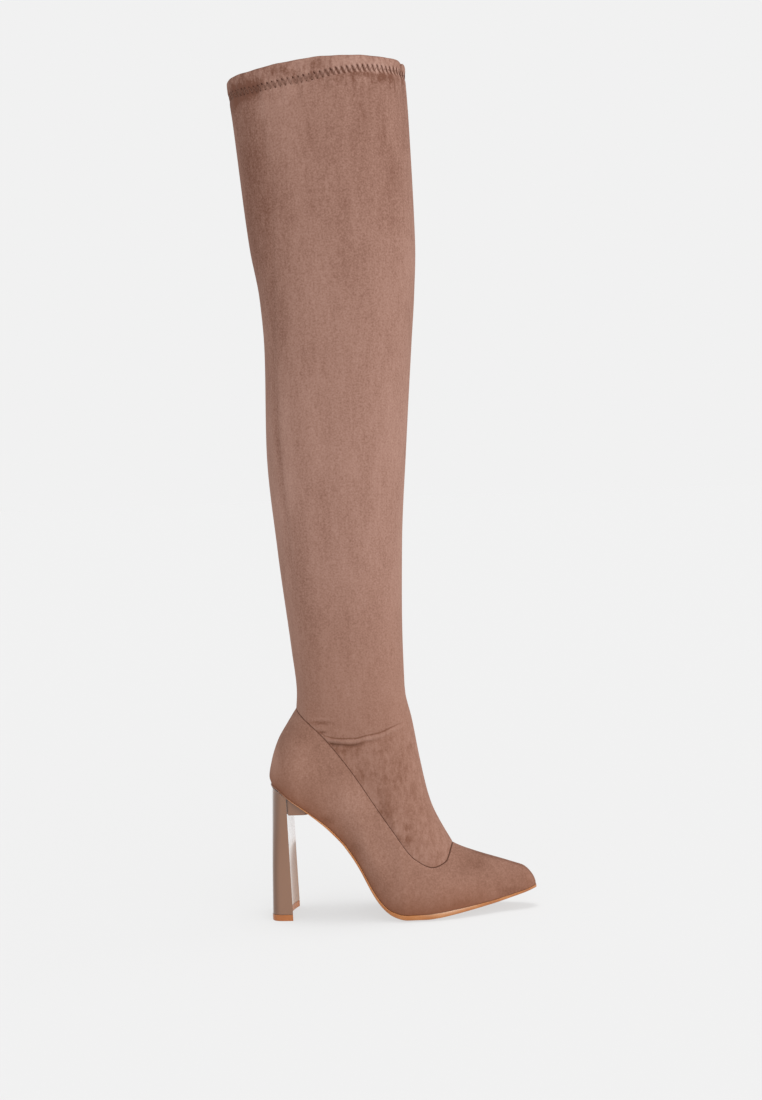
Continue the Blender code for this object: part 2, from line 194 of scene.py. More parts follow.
def skin_mesh(name, *stacks, looped=False, capped=False):
    """Skins stacks of closed rings with quads: looped ones close on themselves, capped ones have ends."""
    points, faces = [], []
    for rings in stacks:
        levels, count = rings.shape[:2]
        index = sum(len(part) for part in points) + np.arange(levels * count).reshape(levels, count)
        low = index if looped else index[:-1]
        high = np.roll(index, -1, axis=0) if looped else index[1:]
        quads = (low, np.roll(low, -1, axis=1), np.roll(high, -1, axis=1), high)
        faces += np.stack(quads, axis=-1).reshape(-1, 4).tolist()
        if capped:
            near = np.arange(count // 2 - 1)
            far = count - 1 - near
            foot, head = index[0], index[-1]
            faces += np.stack((foot[near], foot[far], foot[far - 1], foot[near + 1]), axis=-1).tolist()
            faces += np.stack((head[near], head[near + 1], head[far - 1], head[far]), axis=-1).tolist()
        points.append(rings.reshape(-1, 3))
    mesh = bpy.data.meshes.new(name)
    mesh.from_pydata(framed(np.concatenate(points)).tolist(), [], faces)
    mesh.shade_smooth()
    return put(name, mesh)


# How far in from a sheet's edge, and how far up or down, its rounding starts. The tread is rounded by
# shares of the sole's thickness, and no rounding goes further in than a share of the sheet's width.
Roll = namedtuple("Roll", "inward height")
TOP_ROLL = Roll(0.6, 0.7)
TREAD_SHARES = Roll(1.2, 0.4)
ROLL_LIMIT = 0.25
ROLL_STEPS = 6
SHEET_STATIONS = 220


def cut_sheet(name, grow, bottom, top, roll):
    """A sheet cut to the last's outline, with its edges rounded, skinned from heel to toe."""
    turn = np.linspace(0.0, 0.5 * np.pi, ROLL_STEPS)
    heel_end = FEATHER_BACK - grow + SHEET_END
    toe_end = TOE_TIP + grow - SHEET_END
    rings = []
    for x in blend(heel_end, toe_end, end_spaced(SHEET_STATIONS)):
        medial = foot_centre(x) + outline_half(x, 1.0, grow)
        lateral = foot_centre(x) - outline_half(x, -1.0, grow)
        most = ROLL_LIMIT * (medial - lateral)
        low_roll = roll(x)
        low_in, high_in = min(low_roll.inward, most), min(TOP_ROLL.inward, most)
        lean = slant(underside, x)
        inward = np.concatenate((low_in * (1.0 - np.sin(turn)), high_in * (1.0 - np.cos(turn))))
        low = bottom(x) + low_roll.height * lean * (1.0 - np.cos(turn))
        high = top(x) - TOP_ROLL.height * lean * (1.0 - np.sin(turn))
        height = np.concatenate((low, high))
        near = np.stack((np.full_like(height, x), medial - inward, height), axis=1)
        far = np.stack((np.full_like(height, x), lateral + inward, height), axis=1)
        rings.append(np.concatenate((near, far[::-1])))
    return skin_mesh(name, np.array(rings), capped=True)


def feed(node, fed):
    """Feeds a node's sockets with outputs of other nodes or with plain values."""
    for socket, value in dict(fed).items():
        if isinstance(value, bpy.types.NodeSocket):
            node.id_data.links.new(value, node.inputs[socket])
        else:
            node.inputs[socket].default_value = value


def add_node(tree, kind, fed=(), **settings):
    node = tree.nodes.new(kind)
    for setting, value in settings.items():
        setattr(node, setting, value)
    feed(node, fed)
    return node


# Blotches of a size in millimetres, drawn out along the axes by the stretch.
Grain = namedtuple("Grain", "size stretch detail twist", defaults=((1.0, 1.0, 1.0), 2.0, 0.0))


class Finish:
    """One material on a Principled shader, its textures laid on the piece's own Object coordinates."""

    # Places of the Mix node's colour sockets, whose names its other kinds share.
    MIX_COLOURS = (6, 7)
    MIX_RESULT = 2

    def __init__(self, name, constants):
        self.material = bpy.data.materials.new(name)
        self.material.use_nodes = True
        self.tree = self.material.node_tree
        self.shader = self.tree.nodes["Principled BSDF"]
        self.place = self.add("ShaderNodeTexCoord").outputs["Object"]
        feed(self.shader, constants)

    def add(self, kind, fed=(), **settings):
        return add_node(self.tree, kind, fed, **settings)

    def shade(self, socket, value):
        feed(self.shader, {socket: value})

    def noise(self, grain):
        stretched = self.add("ShaderNodeMapping", {
            "Vector": self.place,
            "Scale": [1.0 / part for part in grain.stretch],
        })
        noise = self.add("ShaderNodeTexNoise", {
            "Vector": stretched.outputs["Vector"],
            "Scale": 1.0 / (grain.size * MM),
            "Detail": grain.detail,
            "Distortion": grain.twist,
        })
        return noise.outputs["Fac"]

    def attribute(self, name):
        return self.add("ShaderNodeAttribute", attribute_name=name).outputs["Fac"]

    def math(self, operation, first, second):
        return self.add("ShaderNodeMath", {0: first, 1: second}, operation=operation).outputs["Value"]

    def plus(self, first, second):
        return self.math("ADD", first, second)

    def minus(self, first, second):
        return self.math("SUBTRACT", first, second)

    def times(self, first, second):
        return self.math("MULTIPLY", first, second)

    def total(self, *shares):
        """Adds up outputs, each centred on a half and given its own weight."""
        whole = 0.5
        for output, weight in shares:
            whole = self.plus(self.times(self.minus(output, 0.5), weight), whole)
        return whole

    def spread(self, value, low, high, least=0.0, most=1.0):
        """Eases a value from least to most as it passes from low to high."""
        fed = {"Value": value, "From Min": low, "From Max": high, "To Min": least, "To Max": most}
        return self.add("ShaderNodeMapRange", fed, interpolation_type="SMOOTHSTEP").outputs["Result"]

    def ramp(self, share, stops):
        """Runs through colours at their places from 0 to 1."""
        node = self.add("ShaderNodeValToRGB", {"Fac": share})
        elements = node.color_ramp.elements
        while len(elements) < len(stops):
            elements.new(0.5)
        for element, (place, colour) in zip(elements, stops):
            element.position = place
            element.color = (*colour, 1.0)
        return node.outputs["Color"]

    def mix(self, share, first, second):
        node = self.add("ShaderNodeMix", {"Factor": share}, data_type="RGBA")
        for socket, colour in zip(self.MIX_COLOURS, (first, second)):
            feed(node, {socket: (*colour, 1.0) if isinstance(colour, tuple) else colour})
        return node.outputs[self.MIX_RESULT]

    def bump(self, height, depth, under=None):
        """Raises the surface by a height texture, to a depth in millimetres."""
        node = self.add("ShaderNodeBump", {"Height": height, "Distance": depth * MM})
        if under is not None:
            feed(node, {"Normal": under})
        return node.outputs["Normal"]


def dress(piece, slot, *finishes):
    """Gives a finished piece its materials and sets it on the boot's one body."""
    for finish in finishes:
        piece.data.materials.append(finish.material)
    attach(piece, "root")


TAN = (0.44, 0.155, 0.038)
TAN_LIGHT = (0.53, 0.225, 0.08)
TAN_RUBBED = (0.36, 0.12, 0.032)
SEAT_BROWN = (0.34, 0.15, 0.085)
SEAT_FRONT = 30.0
SEAT_FADE = 20.0
# A painted highlight along the top of the sole's edge under the ball, standing in for the light it would
# catch.
PAINTED_HIGHLIGHT_TAN = (0.82, 0.56, 0.40)
HIGHLIGHT_RIM_MIDDLE = 145.0
HIGHLIGHT_RIM_REACH = 28.0
HIGHLIGHT_RIM_LOW = 0.35
TAN_CLOUD = Grain(14.0, detail=3.0)
TAN_PORES = Grain(0.8, detail=1.0)
CLOUD_WEIGHT = 1.2
PORE_WEIGHT = 0.25
PORE_DEPTH = 0.05
RUBBED_AT, TAN_AT, LIGHT_AT = 0.2, 0.5, 0.8
CLOUD_RANGE = (0.35, 0.65)
SATIN_RANGE = (0.36, 0.5)


def tan_rubber(name, light, mid, rubbed):
    """Moulded rubber, satin edge paint: faint cloudiness, fine pores, rubbed spots, a painted highlight.
    """
    tan = Finish(name, {"Specular IOR Level": 0.3, "Coat Weight": 0.5, "Coat Roughness": 0.1})
    cloud = tan.noise(TAN_CLOUD)
    pores = tan.noise(TAN_PORES)
    colour = tan.ramp(tan.total((cloud, CLOUD_WEIGHT), (pores, PORE_WEIGHT)),
                      ((RUBBED_AT, rubbed), (TAN_AT, mid), (LIGHT_AT, light)))
    # Paints the highlight where a rim is marked for it.
    colour = tan.mix(tan.attribute("pale_rim"), colour, PAINTED_HIGHLIGHT_TAN)
    tan.shade("Base Color", tan.mix(tan.attribute("seat"), colour, SEAT_BROWN))
    tan.shade("Roughness", tan.spread(cloud, *CLOUD_RANGE, *SATIN_RANGE))
    tan.shade("Normal", tan.bump(pores, PORE_DEPTH))
    return tan


def mark(piece, name, values):
    """Writes a value to each point of a piece, from its first point on, and 0 to the rest."""
    whole = np.zeros(len(piece.data.vertices), np.float32)
    whole[:values.size] = values.ravel()
    piece.data.attributes.new(name, "FLOAT", "POINT").data.foreach_set("value", whole)


def tread_roll(x):
    thickness = sole_thickness(x)
    return Roll(TREAD_SHARES.inward * thickness, TREAD_SHARES.height * thickness)


sole_sheet = cut_sheet("sole_sheet", SOLE_EDGE, underside, sole_top, tread_roll)
sole_x = np.array([point.co.x / MM - HEEL_AXIS for point in sole_sheet.data.vertices])
mark(sole_sheet, "seat", np.clip((SEAT_FRONT - sole_x) / SEAT_FADE, 0.0, 1.0))
# The painted highlight rises over the edge's top roll and runs along the ball.
highlight_rim_fade = np.linspace(HIGHLIGHT_RIM_LOW, 1.0, ROLL_STEPS)
rim = np.concatenate((np.zeros(ROLL_STEPS), highlight_rim_fade, highlight_rim_fade[::-1], np.zeros(ROLL_STEPS)))
highlight_along = np.clip(1.0 - np.abs(sole_x - HIGHLIGHT_RIM_MIDDLE) / HIGHLIGHT_RIM_REACH, 0.0, 1.0)
mark(sole_sheet, "pale_rim", highlight_along * np.tile(rim, SHEET_STATIONS))
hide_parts("outsole")
dress(sole_sheet, "sole_tan", tan_rubber("sole_tan_paint", TAN_LIGHT, TAN, TAN_RUBBED))


# Insole. A stiff board under a beige sock lining, set inside the upper on its lasted edge. The lining
# is a fine plain-woven cloth, seen only down the open leg.
UPPER_WALL = 1.6
INSOLE_THICKNESS = 1.8
FEATHER_GAP = 0.05
INSOLE_PLAY = 0.7
SOCK_BEIGE = (0.42, 0.30, 0.22)
SOCK_SHADE = (0.31, 0.21, 0.15)
WARP = Grain(0.45, (1.0, 1.0, 9.0), 1.0)
WEFT = Grain(0.45, (9.0, 9.0, 1.0), 1.0)
WORN_PATCHES = Grain(22.0, detail=3.0)
WEAVE_WEIGHT = 0.9
LINING_WEIGHT = 0.8
WEAVE_DEPTH = 0.12
WEAVE_SHADE_AT, WEAVE_LIGHT_AT = 0.25, 0.7


def feather(x):
    """Height of the upper's lower edge, just above the sole."""
    return sole_top(x) + FEATHER_GAP * slant(underside, x)


def insole_top(x):
    return feather(x) + INSOLE_THICKNESS * slant(underside, x)


def woven_lining(name, light, shade):
    """Plain-woven lining cloth: fine threads both ways with a little unevenness."""
    cloth = Finish(name, {"Roughness": 0.85, "Specular IOR Level": 0.2, "Sheen Weight": 0.15})
    threads = cloth.total((cloth.noise(WARP), WEAVE_WEIGHT), (cloth.noise(WEFT), WEAVE_WEIGHT))
    tone = cloth.total((threads, LINING_WEIGHT), (cloth.noise(WORN_PATCHES), LINING_WEIGHT))
    cloth.shade("Base Color", cloth.ramp(tone, ((WEAVE_SHADE_AT, shade), (WEAVE_LIGHT_AT, light))))
    cloth.shade("Normal", cloth.bump(threads, WEAVE_DEPTH))
    return cloth


def board_roll(x):
    return TOP_ROLL


sock_lining = cut_sheet("sock_lining", -(UPPER_WALL + INSOLE_PLAY), feather, insole_top, board_roll)
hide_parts("insole")
dress(sock_lining, "sock_beige", woven_lining("sock_cloth", SOCK_BEIGE, SOCK_SHADE))


# Upper. Faux suede, 1.6 mm with its backing, pulled over a pointed last: toe, vamp and counter in one
# piece, lasted under at the feather edge and turned in where the stretch leg is sewn to it.
SEAM_PULL_START = 0.5
Spot = namedtuple("Spot", "x z")
COUNTER = (
    Spot(-2.6, 112.2),
    Spot(-4.1, 118.0),
    Spot(-1.7, 131.0),
    Spot(4.1, 148.0),
    Spot(14.2, 165.0),
    Spot(21.0, 175.5),
)
SEAM = (
    Spot(21.0, 175.5),
    Spot(43.0, 156.5),
    Spot(63.0, 131.8),
    Spot(98.0, 77.0),
    Spot(117.5, 50.2),
    Spot(132.5, 42.6),
    Spot(142.5, 46.0),
    Spot(147.5, 57.0),
)
Leg = namedtuple("Leg", "z back front centre half")
LEG = (
    Leg(40.0, 34.0, 158.0, 5.2, 33.0),
    Leg(57.0, 31.0, 147.5, 4.6, 33.0),
    Leg(94.0, 27.0, 130.0, 2.9, 32.5),
    Leg(128.0, 24.0, 122.9, 1.7, 32.3),
    Leg(162.0, 20.0, 117.5, 0.8, 32.4),
    Leg(190.0, 22.0, 112.3, 0.3, 33.0),
    Leg(224.0, 19.2, 112.1, 0.0, 35.0),
    Leg(308.0, 10.9, 114.6, 0.0, 40.5),
    Leg(391.0, 5.3, 121.2, 0.0, 44.5),
    Leg(474.0, 7.1, 128.6, 0.0, 47.8),
    Leg(515.0, 4.9, 132.4, 0.0, 49.2),
    Leg(557.0, -1.6, 134.7, 0.0, 50.4),
    Leg(655.0, -10.8, 133.0, 0.0, 52.0),
    Leg(700.0, -15.2, 131.0, 0.0, 52.3),
)
BACK_FULLNESS = 2.5
FRONT_FULLNESS = 2.1

swell, swell_height, full_ridge = curves(LAST, "x", "swell", "swell_height", "ridge")
leg_back, leg_front, leg_centre, leg_half = curves(LEG, "z", "back", "front", "centre", "half")
counter_back = through(COUNTER, "z", "x")
seam_height = through(SEAM, "x", "z")


def ease(part):
    part = np.clip(part, 0.0, 1.0)
    return part * part * (3.0 - 2.0 * part)


def bell(offset, width):
    """A soft hump of height 1, a width to each side of its middle."""
    return ease(1.0 - np.abs(offset) / width)


def ridge(x):
    """Height of the upper's top line over the vamp, falling to the feather at the toe tip."""
    return feather(x) + (full_ridge(x) - feather(x)) * round_end(x, TOE_TIP, TOE_ROUND)


def foot_y(x, z, side):
    """Sideways place of the upper's outer skin at a spot of the side view."""
    height = np.maximum(z - feather(x), 0.0)
    half = np.where(side < 0.0, lateral_half(x), medial_half(x))
    half = half + swell(x) * np.sin(0.5 * np.pi * np.clip(height / swell_height(x), 0.0, 1.0))
    share = np.clip(height / np.maximum(ridge(x) - feather(x), GAP), 0.0, 1.0)
    heel = round_end(x, counter_back(z), HEEL_ROUND)
    toe = round_end(x, TOE_TIP, TOE_ROUND)
    return foot_centre(x) + side * half * np.sqrt(1.0 - share**2) * heel * toe


def leg_y(x, z, side):
    """Sideways place of the shaft's outer skin at a spot of the side view."""
    back, front = leg_back(z), leg_front(z)
    across = np.clip((2.0 * x - back - front) / (front - back), -1.0, 1.0)
    fullness = np.where(across < 0.0, BACK_FULLNESS, FRONT_FULLNESS)
    return leg_centre(z) + side * leg_half(z) * np.sqrt(1.0 - np.abs(across) ** fullness)


def patch(lower, upper, back, front, along, up):
    """Fills the side view between four boundary lines, at a height `up` from lower to upper."""
    low, high = lower(along), upper(along)
    rear, fore = back(up), front(up)
    corners = (1.0 - up) * ((1.0 - along) * low[:, :1] + along * low[:, -1:])
    corners = corners + up * ((1.0 - along) * high[:, :1] + along * high[:, -1:])
    sides = (1.0 - along) * rear[:, None] + along * fore[:, None]
    return (1.0 - up) * low + up * high + sides - corners


def feather_line(along):
    x = blend(FEATHER_BACK, TOE_TIP, along)
    return np.array((x, feather(x)))


def seam_line(along):
    x = blend(SEAM[0].x, SEAM[-1].x, along)
    return np.array((x, seam_height(x)))


def counter_line(up):
    z = blend(feather(FEATHER_BACK), SEAM[0].z, up)
    return np.array((counter_back(z), z))


def ridge_line(up):
    """Runs up over the toe and back along the vamp to the throat, by length."""
    samples = 400
    x = blend(SEAM[-1].x, TOE_TIP, 1.0 - np.linspace(1.0, 0.0, samples) ** 2)[::-1]
    z = ridge(x)
    run = np.concatenate(((0.0,), np.cumsum(np.hypot(np.diff(x), np.diff(z)))))
    reached = up * run[-1]
    return np.array((np.interp(reached, run, x), np.interp(reached, run, z)))


def there_and_back(there, back):
    """Joins two lines between the same ends into one closed ring."""
    return np.concatenate((there, back[-2:0:-1]))


def closed_ring(places, sideways):
    """Joins the lateral half of a ring, back to front, with the medial half, front to back."""
    x, z = places
    lateral = np.stack((x, sideways(x, z, -1.0), z), axis=1)
    medial = np.stack((x, sideways(x, z, 1.0), z), axis=1)
    return there_and_back(lateral, medial)


def seam_pull(along, side, body):
    """How far one body's skin moves sideways at the seam to meet the other."""
    x, z = seam_line(along)
    meeting = 0.5 * (foot_y(x, z, side) + leg_y(x, z, side))
    return meeting - body(x, z, side)


def upper_ring(along, up):
    places = patch(feather_line, seam_line, counter_line, ridge_line, along, up)
    pull = ease((up - SEAM_PULL_START) / (1.0 - SEAM_PULL_START))

    def sideways(x, z, side):
        return foot_y(x, z, side) + pull * seam_pull(along, side, foot_y)

    return closed_ring(places, sideways)


def outward(grid):
    """Directions straight out of a skin given as a stack of rings."""
    across = np.roll(grid, -1, axis=1) - np.roll(grid, 1, axis=1)
    normal = np.cross(across, np.gradient(grid, axis=0))
    return normal / np.linalg.norm(normal, axis=2, keepdims=True)


def run_up(grid):
    """Length along the skin from its lowest ring."""
    steps = np.linalg.norm(np.diff(grid, axis=0), axis=2)
    return np.concatenate((np.zeros((1, grid.shape[1])), np.cumsum(steps, axis=0)))


def edge_roll(distance, radius):
    """How far a turned edge falls away from the skin, at a distance from the edge."""
    short = np.clip(1.0 - distance / radius, 0.0, 1.0)
    return radius * (1.0 - np.sqrt(1.0 - short**2))


def rows_between(length, edge_rows, step):
    """Shares of a length: the given distances at both ends, and even steps between them."""
    ends = np.array(edge_rows) / length
    middle = np.linspace(ends[-1], 1.0 - ends[-1], int(length / step))
    return np.concatenate((ends[:-1], middle, 1.0 - ends[-2::-1]))


def hollow_wall(name, grid, relief, wall, inside_rows):
    """A closed wall: the skin with its relief outside, and a plain inner face a wall's thickness in."""
    out = outward(grid)
    outer = grid + relief[..., None] * out
    inner = (grid - wall[..., None] * out)[inside_rows][::-1]
    return skin_mesh(name, np.concatenate((outer, inner)), looped=True), outer, out


# Spots painted darker or lighter, with their reach along and up: nap marks, some painted light and shade.
Smudge = namedtuple("Smudge", "x z wide tall tone")
UPPER_MARKS_AND_PAINTED_SHADE = (
    Smudge(44.7, 84.7, 9.0, 7.0, -0.45),
    Smudge(66.9, 59.1, 12.0, 15.0, -0.3),
    Smudge(152.7, 11.5, 14.0, 6.0, -0.25),
    Smudge(195.0, 17.0, 16.0, 5.0, -0.3),
    Smudge(61.8, 102.4, 26.0, 24.0, 0.2),
    Smudge(92.0, 55.0, 22.0, 24.0, 0.1),
    Smudge(25.7, 130.0, 16.0, 14.0, 0.08),
    Smudge(26.4, 156.6, 14.0, 14.0, -0.12),
    Smudge(120.0, 24.0, 26.0, 14.0, 0.06),
    # Painted shade that evens out the light falling on the vamp's top.
    Smudge(163.0, 42.0, 30.0, 17.0, -0.25),
    Smudge(2.0, 131.0, 10.0, 26.0, 0.55),
)


def marks_and_painted_light(x, z, smudges):
    """Tone of the nap at each place, from all the smudges together."""
    return sum(spot.tone * bell(x - spot.x, spot.wide) * bell(z - spot.z, spot.tall) for spot in smudges)


COLUMNS = 260
ALONG = end_spaced(COLUMNS // 2 + 1)
EDGE_ROWS = (0.0, 0.1, 0.22, 0.38, 0.6, 0.9, 1.4)
UPPER_HEIGHT = 60.0
UPPER_STEP = 0.9
FEATHER_TURN = 0.3
SEAM_TURN = 0.45
INSIDE_STEP = 6

# The warm painted shade and bounced light over the sole, which also ruffles the nap, weaker at the toe.
# The hollow beside the vamp's crest with painted shade in it, the painted shade along that crest, and
# painted shade along a sewn edge, where it turns in.
SOLE_SHADE = 0.9
SOLE_SHADE_REACH = 15.0
TOE_SHADE_SHARE = 0.55
TOE_SHADE_START = 150.0
TOE_SHADE_RUN = 45.0
RUFFLE = 0.15
SOLE_RUFFLE = 0.6
VAMP_HOLLOW_BELOW_CREST = 7.0
VAMP_HOLLOW_WIDTH = 7.0
VAMP_HOLLOW_DEPTH = 0.3
VAMP_HOLLOW_PAINTED_SHADE = 0.06
VAMP_HOLLOW_MIDDLE = 163.0
VAMP_HOLLOW_REACH = 22.0
CREST_SHADE = 0.3
CREST_WIDTH = 1.6
CREST_START = 150.0
CREST_RUN = 26.0
SEAM_EDGE_PAINTED_SHADE = 0.3
SEAM_EDGE_SHADE_WIDTH = 1.2

Nap = namedtuple("Nap", "dark mid light warm")
UPPER_NAP = Nap(
    dark=(0.190, 0.088, 0.058),
    mid=(0.305, 0.160, 0.115),
    light=(0.42, 0.240, 0.182),
    warm=(0.225, 0.087, 0.046),
)
SHEEN = (0.95, 0.70, 0.58, 1.0)
HAND_MARKS = Grain(18.0, (1.0, 1.0, 3.0), 4.0, 0.5)
RUFFLED = Grain(3.6, (1.0, 1.0, 2.0), 4.0, 0.4)
UPPER_BRUSHING = Grain(2.4, (1.0, 1.0, 2.0), 3.0)
FIBRES = Grain(1.4, detail=3.0)
MARKS_WEIGHT = 0.45
BRUSHING_WEIGHT = 0.3
FIBRES_WEIGHT = 0.9
BRUSHING_RISE = 0.4
NAP_DEPTH = 0.14

# The sewn seam up the middle of the back: a groove in the mesh, with a finer dark crease in the finish.
BACK_SEAM_HALF = 1.1
BACK_SEAM_DEPTH = 0.4
BACK_SEAM_CREASE = 0.2
BACK_SEAM_TONE = 0.5


def off_back_seam(grid):
    """How far each point of a skin lies from the seam up the middle of the back, its first column."""
    behind = grid[..., 0] < grid[:, :1, 0] + HEEL_ROUND
    return np.where(behind, np.abs(grid[..., 1] - grid[:, :1, 1]), HEEL_ROUND)


def back_seam(finish):
    """The crease of the back seam: its height in millimetres and its tone."""
    crease = finish.spread(finish.attribute("from_back_seam"), 0.0, BACK_SEAM_HALF, 1.0, 0.0)
    return finish.times(crease, -BACK_SEAM_CREASE), finish.times(crease, -BACK_SEAM_TONE)


def suede_finish(name, nap, brushing, drawn):
    """Short brushed nap: hand marks, streaks along the brushing, fine fibres, and a soft sheen.

    `drawn` adds what is drawn on the skin: its height in millimetres and its tone.
    """
    suede = Finish(name, {
        "Roughness": 0.95,
        "Specular IOR Level": 0.1,
        "Sheen Weight": 0.1,
        "Sheen Roughness": 0.5,
        "Sheen Tint": SHEEN,
    })
    brushed = suede.noise(brushing)
    fibres = suede.noise(FIBRES)
    marks = suede.noise(HAND_MARKS)
    tone = suede.total((marks, MARKS_WEIGHT), (brushed, BRUSHING_WEIGHT), (fibres, FIBRES_WEIGHT))
    rough = suede.times(suede.minus(suede.noise(RUFFLED), 0.5), suede.attribute("ruffle"))
    # The nap attribute holds marks in the nap together with painted light and shade.
    tone = suede.plus(suede.plus(tone, rough), suede.attribute("nap"))
    normal = suede.bump(suede.total((brushed, BRUSHING_RISE), (fibres, 1.0)), NAP_DEPTH)
    height, shade = drawn(suede)
    tone = suede.plus(tone, shade)
    normal = suede.bump(height, 1.0, under=normal)
    colour = suede.ramp(tone, ((0.0, nap.dark), (0.5, nap.mid), (1.0, nap.light)))
    suede.shade("Base Color", suede.mix(suede.attribute("warm"), colour, nap.warm))
    suede.shade("Normal", normal)
    return suede


upper_grid = np.stack([upper_ring(ALONG, up) for up in rows_between(UPPER_HEIGHT, EDGE_ROWS, UPPER_STEP)])
from_feather = run_up(upper_grid)
from_seam = from_feather[-1] - from_feather
foot_x, foot_z = upper_grid[..., 0], upper_grid[..., 2]
upper_off_seam = off_back_seam(upper_grid)
below_crest = ridge(foot_x) - foot_z
vamp_hollow = bell(below_crest - VAMP_HOLLOW_BELOW_CREST, VAMP_HOLLOW_WIDTH)
vamp_hollow = vamp_hollow * bell(foot_x - VAMP_HOLLOW_MIDDLE, VAMP_HOLLOW_REACH)
upper_relief = -edge_roll(from_feather, FEATHER_TURN) - edge_roll(from_seam, SEAM_TURN)
upper_relief -= VAMP_HOLLOW_DEPTH * vamp_hollow
upper_relief -= BACK_SEAM_DEPTH * bell(upper_off_seam, BACK_SEAM_HALF)
inside_rows = np.unique(np.append(np.arange(0, len(upper_grid), INSIDE_STEP), len(upper_grid) - 1))
suede_upper, _, upper_out = hollow_wall(
    "suede_upper", upper_grid, upper_relief, np.full(upper_grid.shape[:2], UPPER_WALL), inside_rows)

crest = bell(below_crest, CREST_WIDTH) * ease((foot_x - CREST_START) / CREST_RUN)
upper_nap_and_painted_shade = marks_and_painted_light(foot_x, foot_z, UPPER_MARKS_AND_PAINTED_SHADE) - VAMP_HOLLOW_PAINTED_SHADE * vamp_hollow
upper_nap_and_painted_shade -= SEAM_EDGE_PAINTED_SHADE * bell(from_seam, SEAM_EDGE_SHADE_WIDTH)
upper_nap_and_painted_shade -= CREST_SHADE * crest
sole_shade = np.exp(-from_feather / SOLE_SHADE_REACH)
toe_share = blend(1.0, TOE_SHADE_SHARE, ease((foot_x - TOE_SHADE_START) / TOE_SHADE_RUN))
mark(suede_upper, "nap", upper_nap_and_painted_shade)
mark(suede_upper, "warm", SOLE_SHADE * toe_share * sole_shade)
mark(suede_upper, "ruffle", RUFFLE + SOLE_RUFFLE * sole_shade)
mark(suede_upper, "from_back_seam", upper_off_seam)
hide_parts("upper")
dress(suede_upper, "suede", suede_finish("brushed_suede", UPPER_NAP, UPPER_BRUSHING, back_seam))


# Shaft. A tube of stretch suede from the curved seam to the collar. It is slack at the ankle, where
# it has folded over on itself, and its top edge is folded in and held by a zigzag stitch.
SHAFT_WALL = 1.3
HEM_WALL = 2.3
HEM_STEP = 0.5
SEAM_STEP = 0.4
COLLAR_BACK = 691.5
COLLAR_FRONT = 699.5
COLLAR_RISE = 0.75
ANKLE_BACK = 200.0
ANKLE_FRONT = 184.0


def shaft_foot_line(along):
    """The seam raised by the clearance, where the shaft starts."""
    x, z = seam_line(along)
    return np.array((x, z + GAP * slant(seam_height, x)))


def ankle_line(along):
    z = blend(ANKLE_BACK, ANKLE_FRONT, along)
    return np.array((blend(leg_back(ANKLE_BACK), leg_front(ANKLE_FRONT), along), z))


def ankle_back_line(up):
    z = blend(shaft_foot_line(np.zeros(1))[1, 0], ANKLE_BACK, up)
    return np.array((leg_back(z), z))


def ankle_front_line(up):
    z = blend(shaft_foot_line(np.ones(1))[1, 0], ANKLE_FRONT, up)
    return np.array((leg_front(z), z))


def ankle_ring(along, up):
    places = patch(shaft_foot_line, ankle_line, ankle_back_line, ankle_front_line, along, up)
    pull = ease(1.0 - up)
    tuck = SEAM_STEP * pull * np.sqrt(4.0 * along * (1.0 - along))

    def sideways(x, z, side):
        return leg_y(x, z, side) + pull * seam_pull(along, side, leg_y) - side * tuck

    return closed_ring(places, sideways)


def leg_ring(along, up):
    """A ring of the straight leg, from the ankle to the collar."""
    back_z = blend(ANKLE_BACK, COLLAR_BACK, up)
    front_z = blend(ANKLE_FRONT, COLLAR_FRONT, up)
    x = blend(leg_back(back_z), leg_front(front_z), along)
    tilt = blend(along, ease(along / COLLAR_RISE), up)
    return closed_ring(np.array((x, blend(back_z, front_z, tilt))), leg_y)


# The ankle fold on the outer side, a row for each place along it: its upper line, and the depths of
# the fine crease there, of the roll that hangs below it and of the tuck under the roll.
Fold = namedtuple("Fold", "x z crease roll tuck")
ANKLE_FOLD = (
    Fold(40.0, 160.0, 0.0, 0.0, 0.0),
    Fold(47.9, 155.3, 0.7, 0.8, 0.8),
    Fold(58.3, 153.3, 1.0, 1.2, 1.2),
    Fold(71.5, 153.2, 1.0, 1.2, 1.0),
    Fold(81.1, 155.2, 0.9, 1.1, 0.7),
    Fold(92.0, 156.9, 0.9, 1.0, 0.3),
    Fold(102.8, 160.9, 0.7, 0.7, 0.0),
    Fold(113.0, 163.5, 0.0, 0.0, 0.0),
)
# The fold's tones are painted: shade in the crease, the tuck and below the fold, and light on the roll.
CREASE_WIDTH = 1.0
CREASE_DEPTH = 0.35
CREASE_PAINTED_SHADE = 0.6
ROLL_BELOW = 2.6
ROLL_WIDTH = 3.0
ROLL_PAINTED_LIGHT = 0.25
TUCK_BELOW = 5.4
TUCK_WIDTH = 2.2
TUCK_PAINTED_SHADE = 0.4
TUCK_WAVE = 0.6
TUCK_WAVE_RUN = 3.3
FOLD_SHADE_BELOW = 4.0
FOLD_SHADE_WIDTH = 10.0
FOLD_SHADE = 0.2
INNER_SIDE_SHARE = 0.6

# Short creases behind the fold, where the leg is drawn in over the counter, each with a lip above it;
# shade is painted in each trough and light on each lip.
Crease = namedtuple("Crease", "x z reach width depth")
COUNTER_CREASES = (
    Crease(44.0, 166.3, 16.0, 2.4, 0.8),
    Crease(43.5, 158.4, 7.0, 1.8, 1.0),
    Crease(60.0, 143.5, 9.0, 4.0, 0.35),
)
LIP_ABOVE = 3.0
LIP_SHARE = 0.6
LIP_PAINTED_LIGHT = 0.2
TROUGH_PAINTED_SHADE = 0.4
